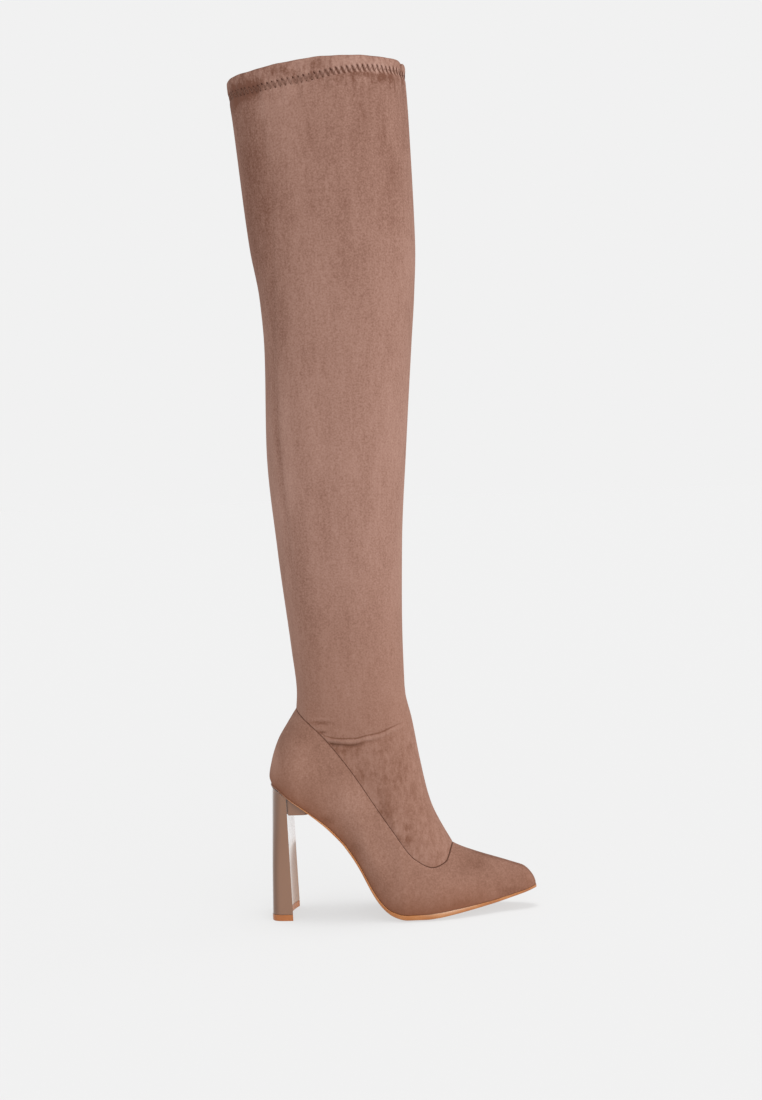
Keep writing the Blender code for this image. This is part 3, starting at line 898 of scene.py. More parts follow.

# The flat back strip of the leg: the soft line in front of it with its depth and tone, and the tone
# behind that line, at the very back and in front of the line. The strip's tone is partly its nap and
# partly painted shade and light, darker high up and lighter low down; the line's tone is painted shade
# in its trough, and the lighter edge at the very back is a painted rim light.
Strip = namedtuple("Strip", "z x trough line tone edge beyond")
BACK_STRIP = (
    Strip(185.0, 31.0, 0.0, 0.0, 0.05, 0.05, -0.05),
    Strip(235.0, 31.0, 0.0, 0.0, 0.08, 0.18, -0.12),
    Strip(291.0, 25.4, 0.3, -0.04, 0.08, 0.22, -0.13),
    Strip(330.0, 22.8, 0.5, -0.12, 0.12, 0.18, -0.05),
    Strip(355.0, 21.2, 0.5, -0.20, 0.12, 0.15, 0.20),
    Strip(380.0, 19.8, 0.5, -0.24, 0.09, 0.14, 0.14),
    Strip(412.0, 18.4, 0.5, -0.20, 0.05, 0.12, 0.20),
    Strip(435.0, 18.1, 0.5, -0.12, 0.0, 0.10, 0.06),
    Strip(459.0, 17.9, 0.5, -0.06, -0.03, 0.08, -0.04),
    Strip(512.0, 20.0, 0.45, -0.06, -0.16, 0.04, -0.12),
    Strip(566.0, 22.5, 0.4, 0.0, -0.30, 0.0, -0.12),
    Strip(600.0, 24.0, 0.35, 0.0, -0.28, 0.02, -0.12),
    Strip(640.0, 18.5, 0.25, 0.0, -0.25, 0.04, 0.0),
    Strip(663.0, 18.0, 0.2, 0.0, -0.25, 0.05, 0.0),
    Strip(700.0, 18.0, 0.0, 0.0, -0.18, 0.4, 0.0),
)
STRIP_LINE_WIDTH = 4.5
STRIP_EDGE = 7.0
STRIP_BEYOND = 8.0
STRIP_BEYOND_WIDTH = 13.0
BACK_PAINTED_LIGHT_WIDTH = 4.0

# How the front of the leg drifts darker or lighter as it goes up.
Drift = namedtuple("Drift", "z tone")
FRONT_DRIFT = (
    Drift(170.0, 0.0),
    Drift(260.0, 0.02),
    Drift(400.0, 0.06),
    Drift(480.0, 0.0),
    Drift(560.0, -0.06),
    Drift(620.0, -0.17),
    Drift(680.0, -0.17),
    Drift(700.0, -0.05),
)
FRONT_DRIFT_START = 30.0
FRONT_DRIFT_REACH = 60.0

# The hem's stitch line, as its middle's depth below the collar from back to front.
Stitching = namedtuple("Stitching", "x depth")
HEM_LINE = (
    Stitching(-16.0, 12.5),
    Stitching(18.0, 15.5),
    Stitching(51.0, 15.5),
    Stitching(83.0, 12.0),
    Stitching(106.0, 10.0),
    Stitching(131.0, 9.5),
)
ZIGZAG_PITCH = 4.35
ZIGZAG_HEIGHT = 4.8
ZIGZAG_LEAN = 0.5
STITCH_TROUGH = 0.8
STITCH_TROUGH_WIDTH = 5.0
# Painted shade along the stitches' trough, fading out towards the front.
STITCH_SHADE = 0.08
STITCH_SHADE_FRONT = 110.0
STITCH_SHADE_FADE = 100.0
PUCKER = 0.4
PUCKER_SHIFT = 0.75
PUCKER_FADE = (0.3, 0.9)
# Painted light on the puckers, where the stitching comes round to the lit front.
PUCKER_PAINTED_LIGHT = 0.5
LIT_FROM = 60.0
LIT_RUN = 30.0
# Painted shade along the collar's rolled top edge.
COLLAR_PAINTED_SHADE = 0.25
COLLAR_EDGE = 1.6

# The uneven stretch of the hem: low waves round the rim, and gathers on both sides of the stitches.
Wave = namedtuple("Wave", "count height phase")
RIM_WAVES = (Wave(5.0, 1.0, 0.7), Wave(11.0, 0.8, 2.0), Wave(23.0, 0.5, 0.0))
RIM_WAVE = 0.2
RIM_WAVE_REACH = 24.0
GATHERS = (Wave(21.0, 1.0, 0.0), Wave(34.0, 0.7, 1.3), Wave(47.0, 0.5, 0.4))
GATHER = 0.3
GATHER_REACH = 26.0
GATHER_FRONT = 170.0
GATHER_FADE = 150.0

# The pinch beside the middle of the collar's front, on the outer side, with painted shade in it.
PINCH_Y = -11.0
PINCH_WIDTH = 6.0
PINCH_FRONT = 118.0
PINCH_REACH = 40.0
PINCH_DEPTH = 1.4
PINCH_DIP = 1.2
PINCH_PAINTED_SHADE = 0.3

# Where the leg's nap is ruffled, over the instep and at the hem, and where it grows warmer downwards.
INSTEP_TOP = 170.0
INSTEP_FADE = 30.0
RUFFLED_HEM = 670.0
RUFFLED_HEM_FADE = 12.0
LEG_WARMTH = 0.4
WARM_TOP = 330.0
WARM_FADE = 200.0

SHAFT_MARKS_AND_PAINTED_LIGHT = (
    Smudge(6.0, 678.5, 22.0, 12.0, -0.6),
    Smudge(-8.0, 674.0, 16.0, 16.0, -0.45),
    Smudge(34.8, 688.5, 16.0, 8.0, -0.4),
    Smudge(62.0, 694.0, 12.0, 6.0, -0.2),
    # The next four: painted light on the lit hem above the stitches at the front, and painted shadow under
    # them.
    Smudge(90.0, 693.5, 18.0, 9.0, 0.45),
    Smudge(113.5, 691.0, 17.0, 9.0, 0.45),
    Smudge(117.8, 684.0, 14.0, 8.0, -0.3),
    Smudge(98.0, 684.5, 26.0, 4.0, -0.3),
    Smudge(21.0, 660.0, 10.0, 14.0, 0.16),
    Smudge(120.0, 618.0, 12.0, 50.0, -0.08),
    Smudge(92.4, 88.9, 11.0, 24.0, -0.3),
    Smudge(76.6, 122.8, 14.0, 13.0, -0.3),
    Smudge(112.3, 78.2, 7.0, 7.0, -0.3),
    Smudge(108.0, 66.0, 14.0, 8.0, -0.3),
    Smudge(100.0, 118.0, 16.0, 22.0, -0.14),
    Smudge(85.2, 100.0, 9.0, 16.0, 0.08),
    Smudge(108.0, 105.0, 26.0, 60.0, -0.1),
)

fold_height, fold_crease, fold_roll, fold_tuck = curves(ANKLE_FOLD, "x", "z", "crease", "roll", "tuck")
strip_line, strip_trough, strip_shade = curves(BACK_STRIP, "z", "x", "trough", "line")
strip_tone, back_edge_painted_light, strip_beyond = curves(BACK_STRIP, "z", "tone", "edge", "beyond")
front_drift = through(FRONT_DRIFT, "z", "tone")
hem_line = through(HEM_LINE, "x", "depth")

ANKLE_HEIGHT = 80.0
ANKLE_STEP = 0.47
LEG_HEIGHT = COLLAR_FRONT - ANKLE_FRONT
HEM_ZONE = 32.0
HEM_ROW_STEP = 0.8
LEG_STEP = 7.0
FOOT_FADE = 3.0
INNER_RIM_ROWS = 12


def ring_steps(path):
    """Lengths of the steps round a closed path."""
    return np.linalg.norm(np.roll(path, -1, axis=0) - path, axis=1)


def waved(angle, waves):
    """A wavy line round the leg."""
    return sum(wave.height * np.sin(wave.count * angle + wave.phase) for wave in waves)


def lit_front(x):
    """Rises from 0 to 1 where the hem's stitching comes round to the lit front."""
    return ease((x - LIT_FROM) / LIT_RUN)


collar_rows = (HEM_ZONE - np.array(EDGE_ROWS[::-1])) / HEM_ZONE
ankle_rows = rows_between(ANKLE_HEIGHT, EDGE_ROWS, ANKLE_STEP)
ankle_rows = ankle_rows[ankle_rows < 1.0 - EDGE_ROWS[-1] / ANKLE_HEIGHT]
straight_rows = np.linspace(0.0, 1.0 - HEM_ZONE / LEG_HEIGHT, int((LEG_HEIGHT - HEM_ZONE) / LEG_STEP))
hem_rows = np.linspace(0.0, collar_rows[0], int(HEM_ZONE / HEM_ROW_STEP))[1:-1]
hem_rows = 1.0 - (1.0 - np.concatenate((hem_rows, collar_rows))) * HEM_ZONE / LEG_HEIGHT
leg_rows = np.concatenate((straight_rows, hem_rows))
leg_grid = [ankle_ring(ALONG, up) for up in ankle_rows] + [leg_ring(ALONG, up) for up in leg_rows]
leg_grid = np.stack(leg_grid)

from_foot = run_up(leg_grid)
from_collar = from_foot[-1] - from_foot
rim_steps = ring_steps(leg_grid[-1])
rim_length = rim_steps.sum()
rim_run = (np.cumsum(rim_steps) - rim_steps) / rim_length
rim_angle = 2.0 * np.pi * rim_run
zigzags = int(round(rim_length / ZIGZAG_PITCH))
near_rim = ease(1.0 - from_collar / RIM_WAVE_REACH)
leg_grid[..., 2] += RIM_WAVE * waved(rim_angle, RIM_WAVES) * near_rim
pinch = bell(leg_grid[..., 1] - PINCH_Y, PINCH_WIDTH)
pinch = pinch * ease((leg_grid[..., 0] - PINCH_FRONT) / PINCH_WIDTH)
pinch = pinch * ease(1.0 - from_collar / PINCH_REACH)
leg_grid[..., 2] -= PINCH_DIP * pinch * near_rim
leg_x, leg_z = leg_grid[..., 0], leg_grid[..., 2]
leg_off_seam = off_back_seam(leg_grid)
side_share = np.where(np.arange(COLUMNS) > COLUMNS // 2, INNER_SIDE_SHARE, 1.0)

below_fold = fold_height(leg_x) - leg_z
below_tuck = below_fold - TUCK_BELOW - TUCK_WAVE * np.sin(leg_x / TUCK_WAVE_RUN)
roll_line = fold_roll(leg_x) * bell(below_fold - ROLL_BELOW, ROLL_WIDTH)
tuck_line = fold_tuck(leg_x) * bell(below_tuck, TUCK_WIDTH)
fold_shade = fold_tuck(leg_x) * bell(below_fold - TUCK_BELOW - FOLD_SHADE_BELOW, FOLD_SHADE_WIDTH)
ankle_relief = roll_line - tuck_line
ankle_light_and_shade = ROLL_PAINTED_LIGHT * roll_line - TUCK_PAINTED_SHADE * tuck_line - FOLD_SHADE * fold_shade
for crease in COUNTER_CREASES:
    held = crease.depth * bell(leg_x - crease.x, crease.reach)
    trough = held * bell(leg_z - crease.z, crease.width)
    lip = held * bell(leg_z - crease.z - LIP_ABOVE, crease.width)
    ankle_relief += LIP_SHARE * lip - trough
    ankle_light_and_shade += LIP_PAINTED_LIGHT * lip - TROUGH_PAINTED_SHADE * trough

strip_offset = leg_x - strip_line(leg_z)
on_strip_line = bell(strip_offset, STRIP_LINE_WIDTH)

below_stitches = from_collar - hem_line(leg_x)
in_hem = ease(0.5 - below_stitches / STITCH_TROUGH_WIDTH)
by_stitches = bell(below_stitches, STITCH_TROUGH_WIDTH)
gathers = waved(rim_angle, GATHERS) * bell(below_stitches, GATHER_REACH)
gathers = gathers * ease((GATHER_FRONT - leg_x) / GATHER_FADE)
hem_relief = HEM_STEP * in_hem - STITCH_TROUGH * by_stitches + GATHER * gathers - PINCH_DEPTH * pinch

fold_over = edge_roll(from_collar, 0.5 * HEM_WALL)
leg_wall = blend(SHAFT_WALL, HEM_WALL, in_hem) - fold_over
leg_relief = side_share * ankle_relief - strip_trough(leg_z) * on_strip_line + hem_relief
leg_relief -= BACK_SEAM_DEPTH * bell(leg_off_seam, BACK_SEAM_HALF)
leg_relief *= ease(from_collar / HEM_WALL) * ease(from_foot / FOOT_FADE)
leg_relief -= edge_roll(from_foot, SEAM_TURN) + fold_over
inner_rim = len(leg_grid) - INNER_RIM_ROWS
inside_rows = np.append(np.arange(0, inner_rim, INSIDE_STEP), np.arange(inner_rim, len(leg_grid)))
stretch_shaft, leg_skin, leg_out = hollow_wall(
    "stretch_shaft", leg_grid, leg_relief, leg_wall, inside_rows)

# The leg's tone: marks in its nap, with painted light and shade on the strip, folds, creases, seam, collar
# and pinch.
leg_nap_light_and_shade = strip_tone(leg_z) * ease(0.5 - strip_offset / (2.0 * STRIP_EDGE))
leg_nap_light_and_shade += strip_shade(leg_z) * on_strip_line
leg_nap_light_and_shade += strip_beyond(leg_z) * bell(strip_offset - STRIP_BEYOND, STRIP_BEYOND_WIDTH)
leg_nap_light_and_shade += back_edge_painted_light(leg_z) * bell(leg_x - leg_back(leg_z), BACK_PAINTED_LIGHT_WIDTH)
leg_nap_light_and_shade += front_drift(leg_z) * ease((leg_x - FRONT_DRIFT_START) / FRONT_DRIFT_REACH)
leg_nap_light_and_shade += side_share * (marks_and_painted_light(leg_x, leg_z, SHAFT_MARKS_AND_PAINTED_LIGHT) + ankle_light_and_shade)
leg_nap_light_and_shade -= STITCH_SHADE * by_stitches * ease((STITCH_SHADE_FRONT - leg_x) / STITCH_SHADE_FADE)
leg_nap_light_and_shade -= SEAM_EDGE_PAINTED_SHADE * bell(from_foot, SEAM_EDGE_SHADE_WIDTH) + COLLAR_PAINTED_SHADE * bell(from_collar, COLLAR_EDGE)
leg_nap_light_and_shade -= PINCH_PAINTED_SHADE * pinch
ruffled = ease((INSTEP_TOP - leg_z) / INSTEP_FADE) + ease((leg_z - RUFFLED_HEM) / RUFFLED_HEM_FADE)
for name, values in (
    ("nap", leg_nap_light_and_shade),
    ("ruffle", RUFFLE + ruffled),
    ("warm", LEG_WARMTH * ease((WARM_TOP - leg_z) / WARM_FADE)),
    ("zigzag_run", np.broadcast_to(zigzags * rim_run, leg_nap_light_and_shade.shape)),
    ("zigzag_drop", below_stitches / ZIGZAG_HEIGHT),
    ("zigzag_lit", lit_front(leg_x)),
    ("fold_drop", below_fold),
    ("fold_crease", side_share * fold_crease(leg_x)),
    ("from_back_seam", leg_off_seam),
):
    mark(stretch_shaft, name, values)
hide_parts("shaft")


def creases_and_puckers(finish):
    """The fine crease over the ankle fold, and the puckers between the hem's forward strokes."""
    drop = finish.attribute("zigzag_drop")
    run = finish.minus(finish.attribute("zigzag_run"), finish.times(drop, ZIGZAG_LEAN))
    turn = finish.times(finish.minus(run, PUCKER_SHIFT), 2.0 * np.pi)
    held = finish.spread(finish.math("ABSOLUTE", drop, 0.0), *PUCKER_FADE, 1.0, 0.0)
    pucker = finish.times(finish.math("COSINE", turn, 0.0), held)
    off_fold = finish.math("ABSOLUTE", finish.attribute("fold_drop"), 0.0)
    crease = finish.spread(off_fold, 0.0, CREASE_WIDTH, 1.0, 0.0)
    crease = finish.times(crease, finish.attribute("fold_crease"))
    height = finish.minus(finish.times(pucker, PUCKER), finish.times(crease, CREASE_DEPTH))
    # Painted light on the puckers at the lit front, and painted shade in the crease.
    lit = finish.times(pucker, finish.times(finish.attribute("zigzag_lit"), PUCKER_PAINTED_LIGHT))
    tone = finish.minus(lit, finish.times(crease, CREASE_PAINTED_SHADE))
    sewn_height, sewn_tone = back_seam(finish)
    return finish.plus(height, sewn_height), finish.plus(tone, sewn_tone)


SHAFT_NAP = Nap(
    dark=(0.178, 0.077, 0.051),
    mid=(0.335, 0.185, 0.141),
    light=(0.455, 0.272, 0.218),
    warm=(0.268, 0.127, 0.081),
)
SHAFT_BRUSHING = Grain(2.4, (1.0, 1.0, 6.0), 3.0)
BACKING = (0.30, 0.18, 0.14)
BACKING_SHADE = (0.22, 0.125, 0.095)
HEM_INSIDE = 19.5
dress(stretch_shaft, "stretch_suede",
      suede_finish("stretch_suede_nap", SHAFT_NAP, SHAFT_BRUSHING, creases_and_puckers),
      woven_lining("knit_backing", BACKING, BACKING_SHADE))
lined = np.zeros((len(leg_grid) + len(inside_rows), COLUMNS), np.int32)
lined[len(leg_grid):] = (from_collar[inside_rows].mean(axis=1) > HEM_INSIDE)[::-1, None]
stretch_shaft.data.polygons.foreach_set("material_index", lined.ravel())


# Stitches. Dark brown thread: a lockstitch sunk in the seam where leg and foot are joined, and the
# zigzag that holds the hem and lets it stretch, on both faces, with a needle hole at each outer turn.
# The seam thread's very dark brown is its own colour together with painted shade of the groove it lies in.
SEAM_BROWN = (0.085, 0.035, 0.024)
SEAM_WORN = (0.125, 0.055, 0.038)
# The hem thread's darker brown towards the front is painted shade of the groove its strokes lie in; it is
# paler towards the back.
HEM_BROWN = (0.17, 0.076, 0.052)
HEM_WORN = (0.25, 0.125, 0.090)
HEM_PALE = (0.27, 0.140, 0.102)
PALE_UNTIL = 55.0
BROWN_FROM = 85.0
PAINTED_HOLE_SHADE = (0.080, 0.031, 0.021)
PAINTED_HOLE_RIM_SHADE = (0.12, 0.050, 0.035)
PLY = Grain(0.3, detail=1.0)
PLY_DEPTH = 0.05
STITCH_SIDES = 6
STITCH_BENDS = 4


def laying_tree(name, inputs, aims, make_shape):
    """A node tree that lays one shape on each point, turned by two directions kept on the points.

    `make_shape` gives the shape, its size on each point, and how its own points shift once it is laid.
    """
    tree = bpy.data.node_groups.new(name, "GeometryNodeTree")
    for socket, kind in (("Points", "Geometry"), *inputs, ("Material", "Material")):
        tree.interface.new_socket(socket, in_out="INPUT", socket_type="NodeSocket" + kind)
    tree.interface.new_socket("Laid", in_out="OUTPUT", socket_type="NodeSocketGeometry")

    def add(kind, fed=(), **settings):
        return add_node(tree, kind, fed, **settings)

    given = add("NodeGroupInput").outputs
    shape, scale, shift = make_shape(add, given)
    smooth = add("GeometryNodeSetShadeSmooth", {"Geometry": shape})
    turn = (0.0, 0.0, 0.0)
    for direction, axis, pivot in aims:
        held = add("GeometryNodeInputNamedAttribute", {"Name": direction}, data_type="FLOAT_VECTOR")
        align = add("FunctionNodeAlignRotationToVector",
                    {"Rotation": turn, "Vector": held.outputs["Attribute"]}, axis=axis, pivot_axis=pivot)
        turn = align.outputs["Rotation"]
    laid = add("GeometryNodeInstanceOnPoints", {
        "Points": given["Points"],
        "Instance": smooth.outputs["Geometry"],
        "Rotation": turn,
        "Scale": scale,
    })
    real = add("GeometryNodeRealizeInstances", {"Geometry": laid.outputs["Instances"]})
    shifted = add("GeometryNodeSetPosition", {"Geometry": real.outputs["Geometry"], "Offset": shift})
    coloured = add("GeometryNodeSetMaterial",
                   {"Geometry": shifted.outputs["Geometry"], "Material": given["Material"]})
    add("NodeGroupOutput", {"Laid": coloured.outputs["Geometry"]})
    return tree


def bowed_thread(add, given):
    """A short round thread, bowed up and sunk at both ends, with its uneven size and no shift."""
    sunk = add("ShaderNodeMath", {0: given["Thread Radius"], 1: -1.0}, operation="MULTIPLY").outputs[0]
    middle = add("ShaderNodeCombineXYZ", {"Z": given["Bow"]})
    line = add("GeometryNodeCurveQuadraticBezier",
               {"Resolution": STITCH_BENDS, "Middle": middle.outputs["Vector"]})
    for end, share in (("Start", -0.5), ("End", 0.5)):
        run = add("ShaderNodeMath", {0: given["Stitch Length"], 1: share}, operation="MULTIPLY")
        place = add("ShaderNodeCombineXYZ", {"X": run.outputs[0], "Z": sunk})
        feed(line, {end: place.outputs["Vector"]})
    circle = add("GeometryNodeCurvePrimitiveCircle",
                 {"Resolution": STITCH_SIDES, "Radius": given["Thread Radius"]})
    thread = add("GeometryNodeCurveToMesh", {
        "Curve": line.outputs["Curve"],
        "Profile Curve": circle.outputs["Curve"],
        "Fill Caps": True,
    })
    least = add("ShaderNodeMath", {0: 1.0, 1: given["Unevenness"]}, operation="SUBTRACT")
    size = add("FunctionNodeRandomValue",
               {"Min": least.outputs[0], "Max": 1.0, "Seed": given["Seed"]}, data_type="FLOAT")
    return thread.outputs["Mesh"], size.outputs["Value"], (0.0, 0.0, 0.0)


STITCH_TREE = laying_tree(
    "laid_stitches",
    (("Stitch Length", "Float"), ("Thread Radius", "Float"), ("Bow", "Float"), ("Unevenness", "Float"),
     ("Seed", "Int")),
    (("run", "X", "AUTO"), ("out", "Z", "X")), bowed_thread)


def lay(name, tree, places, held, sizes, finish):
    """Shapes at the given places, made by a node tree and kept as a plain mesh."""
    points = bpy.data.meshes.new(name + "_points")
    points.from_pydata(framed(places).tolist(), [], [])
    for attribute, vectors in held.items():
        kept = points.attributes.new(attribute, "FLOAT_VECTOR", "POINT")
        kept.data.foreach_set("vector", vectors.astype(np.float32).ravel())
    guide = put(name + "_guide", points)
    modifier = guide.modifiers.new("laying", "NODES")
    modifier.node_group = tree
    sockets = {item.name: item.identifier for item in tree.interface.items_tree}
    for socket, value in {**sizes, "Material": finish.material}.items():
        modifier[sockets[socket]] = value
    evaluated = guide.evaluated_get(bpy.context.evaluated_depsgraph_get())
    mesh = bpy.data.meshes.new_from_object(evaluated)
    mesh.name = name
    bpy.data.objects.remove(guide)
    bpy.data.meshes.remove(points)
    return put(name, mesh)


def thread_finish(name, colour, worn, pale=None):
    """Twisted polyester thread with fine ridges, of a paler colour towards the back where one is given."""
    thread = Finish(name, {"Roughness": 0.85, "Specular IOR Level": 0.06})
    ply = thread.noise(PLY)
    shown = thread.mix(ply, colour, worn)
    if pale is not None:
        split = thread.add("ShaderNodeSeparateXYZ", {"Vector": thread.place})
        ends = [(x + HEEL_AXIS) * MM for x in (PALE_UNTIL, BROWN_FROM)]
        shown = thread.mix(thread.spread(split.outputs["X"], *ends), pale, shown)
    thread.shade("Base Color", shown)
    thread.shade("Normal", thread.bump(ply, PLY_DEPTH))
    return thread


def unit(vectors):
    return vectors / np.linalg.norm(vectors, axis=1, keepdims=True)


def even_places(path, count):
    """Evenly spaced places round a closed path, as fractions of its columns."""
    run = np.concatenate(((0.0,), np.cumsum(ring_steps(path))))
    return np.interp(np.arange(count) / count * run[-1], run, np.arange(len(run)))


def at_columns(values, columns):
    """Values of a closed ring between its columns."""
    low = np.floor(columns).astype(int) % len(values)
    part = (columns - np.floor(columns))[:, None]
    return blend(values[low], values[(low + 1) % len(values)], part)


SEAM_PITCH = 2.9
SEAM_STITCH = 2.5
SEAM_THREAD = 0.32
SEAM_SINK = 0.5
seam_out = unit(upper_out[-1] + leg_out[0])
seam_path = 0.5 * (upper_grid[-1] + leg_grid[0]) - SEAM_SINK * seam_out
seam_columns = even_places(seam_path, int(ring_steps(seam_path).sum() / SEAM_PITCH))
seam_runs = np.roll(seam_path, -1, axis=0) - np.roll(seam_path, 1, axis=0)
seam_sizes = {
    "Stitch Length": SEAM_STITCH * MM,
    "Thread Radius": SEAM_THREAD * MM,
    "Bow": SEAM_THREAD * MM,
    "Unevenness": 0.08,
    "Seed": 3,
}
seam_held = {
    "run": unit(at_columns(seam_runs, seam_columns)),
    "out": unit(at_columns(seam_out, seam_columns)),
}
seam_thread = lay("seam_thread", STITCH_TREE, at_columns(seam_path, seam_columns), seam_held, seam_sizes,
                  thread_finish("seam_thread_brown", SEAM_BROWN, SEAM_WORN))
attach(seam_thread, "root")

ZIGZAG_THREAD = 0.2
ZIGZAG_BOW = 1.6
STROKE_SINK = 0.08
BACK_STROKE_SINK = 0.3
Turns = namedtuple("Turns", "upper upper_out lower lower_out zig zag")


def hem_places(face, columns, depth_offset):
    """Places on a face of the hem and its outward directions, at an offset below the stitch line."""
    spots, outs = [], []
    for column in columns:
        low = int(np.floor(column)) % COLUMNS
        part = column - np.floor(column)
        skin = blend(face[:, low], face[:, (low + 1) % COLUMNS], part)
        out = blend(leg_out[:, low], leg_out[:, (low + 1) % COLUMNS], part)
        depth = blend(from_collar[:, low], from_collar[:, (low + 1) % COLUMNS], part)
        wanted = hem_line(skin[-1, 0]) + depth_offset
        spots.append([np.interp(-wanted, -depth, skin[:, axis]) for axis in range(3)])
        outs.append([np.interp(-wanted, -depth, out[:, axis]) for axis in range(3)])
    return np.array(spots), unit(np.array(outs))


turn_columns = even_places(leg_grid[-1], 2 * zigzags)


def zigzag_turns(face):
    """The zigzag's turns on a face of the hem, and its strokes down to and back up from the lower ones."""
    upper, upper_out = hem_places(face, turn_columns[0::2], -0.5 * ZIGZAG_HEIGHT)
    lower, lower_out = hem_places(face, turn_columns[1::2], 0.5 * ZIGZAG_HEIGHT)
    return Turns(upper, upper_out, lower, lower_out, lower - upper, np.roll(upper, -1, axis=0) - lower)


def lay_zigzag(name, turns, facing, sink, back_sink):
    """Lays the zigzag's strokes, sunk into the cloth, facing out of the leg or into it."""
    strokes = turns.upper + 0.5 * turns.zig - sink * turns.upper_out
    back_strokes = turns.lower + 0.5 * turns.zag - back_sink * turns.lower_out
    held = {
        "run": unit(np.concatenate((turns.zig, turns.zag))),
        "out": facing * np.concatenate((turns.upper_out, turns.lower_out)),
    }
    places = np.concatenate((strokes, back_strokes))
    return lay(name, STITCH_TREE, places, held, zigzag_sizes, hem_thread)


outer = zigzag_turns(leg_skin)
zigzag_sizes = {
    "Stitch Length": float(np.linalg.norm(outer.zig, axis=1).mean()) * MM,
    "Thread Radius": ZIGZAG_THREAD * MM,
    "Bow": ZIGZAG_BOW * ZIGZAG_THREAD * MM,
    "Unevenness": 0.06,
    "Seed": 11,
}
hem_thread = thread_finish("hem_thread_brown", HEM_BROWN, HEM_WORN, HEM_PALE)
back_stroke_sink = STROKE_SINK + BACK_STROKE_SINK * lit_front(outer.lower[:, :1])
hem_zigzag = lay_zigzag("hem_zigzag", outer, 1.0, STROKE_SINK, back_stroke_sink)
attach(hem_zigzag, "root")

inner = zigzag_turns(leg_grid - leg_wall[..., None] * leg_out)
inner_zigzag = lay_zigzag("inner_zigzag", inner, -1.0, 0.0, 0.0)
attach(inner_zigzag, "root")

# The needle holes: ovals sunk in the cloth and painted dark for the shade in them, those of the upper
# turns drawn out and narrow at the lit front, those of the lower turns smaller there, and all of them
# small at the very front.
HOLE_WIDE = 0.5
HOLE_TALL = 0.95
HOLE_STRETCH = 0.3
HOLE_FRONT_WIDE = 0.75
LOWER_HOLE = 0.9
LOWER_HOLE_FRONT = 0.5
SMALL_HOLE = 0.6
SMALL_FROM = 105.0
SMALL_RUN = 20.0
HOLE_UNEVEN = (0.7, 1.15)
HOLE_SEED = 5
HOLE_DEPTH = 0.5
HOLE_TAPER = 0.3
HOLE_PROUD = 0.12
HOLE_SIDES = 10


def narrowing_pit(add, given):
    """A pit 1 mm in radius, laid flat, with the size that makes it an oval and the shift that sinks it."""
    height = add("ShaderNodeMath", {0: given["Depth"], 1: given["Rim"]}, operation="ADD")
    foot = add("ShaderNodeMath", {0: given["Taper"], 1: MM}, operation="MULTIPLY")
    pit = add("GeometryNodeMeshCone", {
        "Vertices": HOLE_SIDES,
        "Radius Top": MM,
        "Radius Bottom": foot.outputs[0],
        "Depth": height.outputs[0],
    })
    place = add("GeometryNodeInputPosition")
    split = add("ShaderNodeSeparateXYZ", {"Vector": place.outputs["Position"]})
    rise = add("ShaderNodeMath", {0: split.outputs["Z"], 1: given["Depth"]}, operation="SUBTRACT")
    noted = add("GeometryNodeStoreNamedAttribute",
                {"Geometry": pit.outputs["Mesh"], "Name": "level", "Value": rise.outputs[0]})
    flat = add("GeometryNodeTransform", {"Geometry": noted.outputs["Geometry"], "Scale": (1.0, 1.0, 0.0)})
    size, out, level = [
        add("GeometryNodeInputNamedAttribute", {"Name": name}, data_type=kind).outputs["Attribute"]
        for name, kind in (("size", "FLOAT_VECTOR"), ("out", "FLOAT_VECTOR"), ("level", "FLOAT"))
    ]
    shift = add("ShaderNodeVectorMath", {0: out, "Scale": level}, operation="SCALE")
    return flat.outputs["Geometry"], size, shift.outputs["Vector"]


HOLE_TREE = laying_tree(
    "sunk_holes", (("Depth", "Float"), ("Rim", "Float"), ("Taper", "Float")),
    (("rise", "Y", "AUTO"), ("out", "Z", "Y")), narrowing_pit)
upper_lit, lower_lit = lit_front(outer.upper[:, 0]), lit_front(outer.lower[:, 0])
drawn_out = HOLE_TALL * (1.0 + HOLE_STRETCH * upper_lit)
shrunk = blend(LOWER_HOLE, LOWER_HOLE_FRONT, lower_lit)
upper_places = outer.upper + (drawn_out - HOLE_TALL)[:, None] * unit(outer.zig)
hole_places = np.concatenate((upper_places, outer.lower))
hole_size = np.random.default_rng(HOLE_SEED).uniform(*HOLE_UNEVEN, 2 * zigzags)
turn_x = np.append(outer.upper[:, 0], outer.lower[:, 0])
hole_size = hole_size * blend(1.0, SMALL_HOLE, ease((turn_x - SMALL_FROM) / SMALL_RUN))
hole_talls = np.concatenate((drawn_out, HOLE_TALL * shrunk)) * hole_size
hole_wides = HOLE_WIDE * np.concatenate((blend(1.0, HOLE_FRONT_WIDE, upper_lit), shrunk)) * hole_size
hole_held = {
    "rise": unit(np.concatenate((-outer.zig, -outer.zig))),
    "out": np.concatenate((outer.upper_out, outer.lower_out)),
    "size": np.stack((hole_wides, hole_talls, np.ones_like(hole_size)), axis=1),
}
hole_sizes = {"Depth": HOLE_DEPTH * MM, "Rim": HOLE_PROUD * MM, "Taper": HOLE_TAPER}
needle_holes = lay("needle_holes", HOLE_TREE, hole_places, hole_held, hole_sizes,
                   thread_finish("needle_hole_shade", PAINTED_HOLE_SHADE, PAINTED_HOLE_RIM_SHADE))
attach(needle_holes, "root")


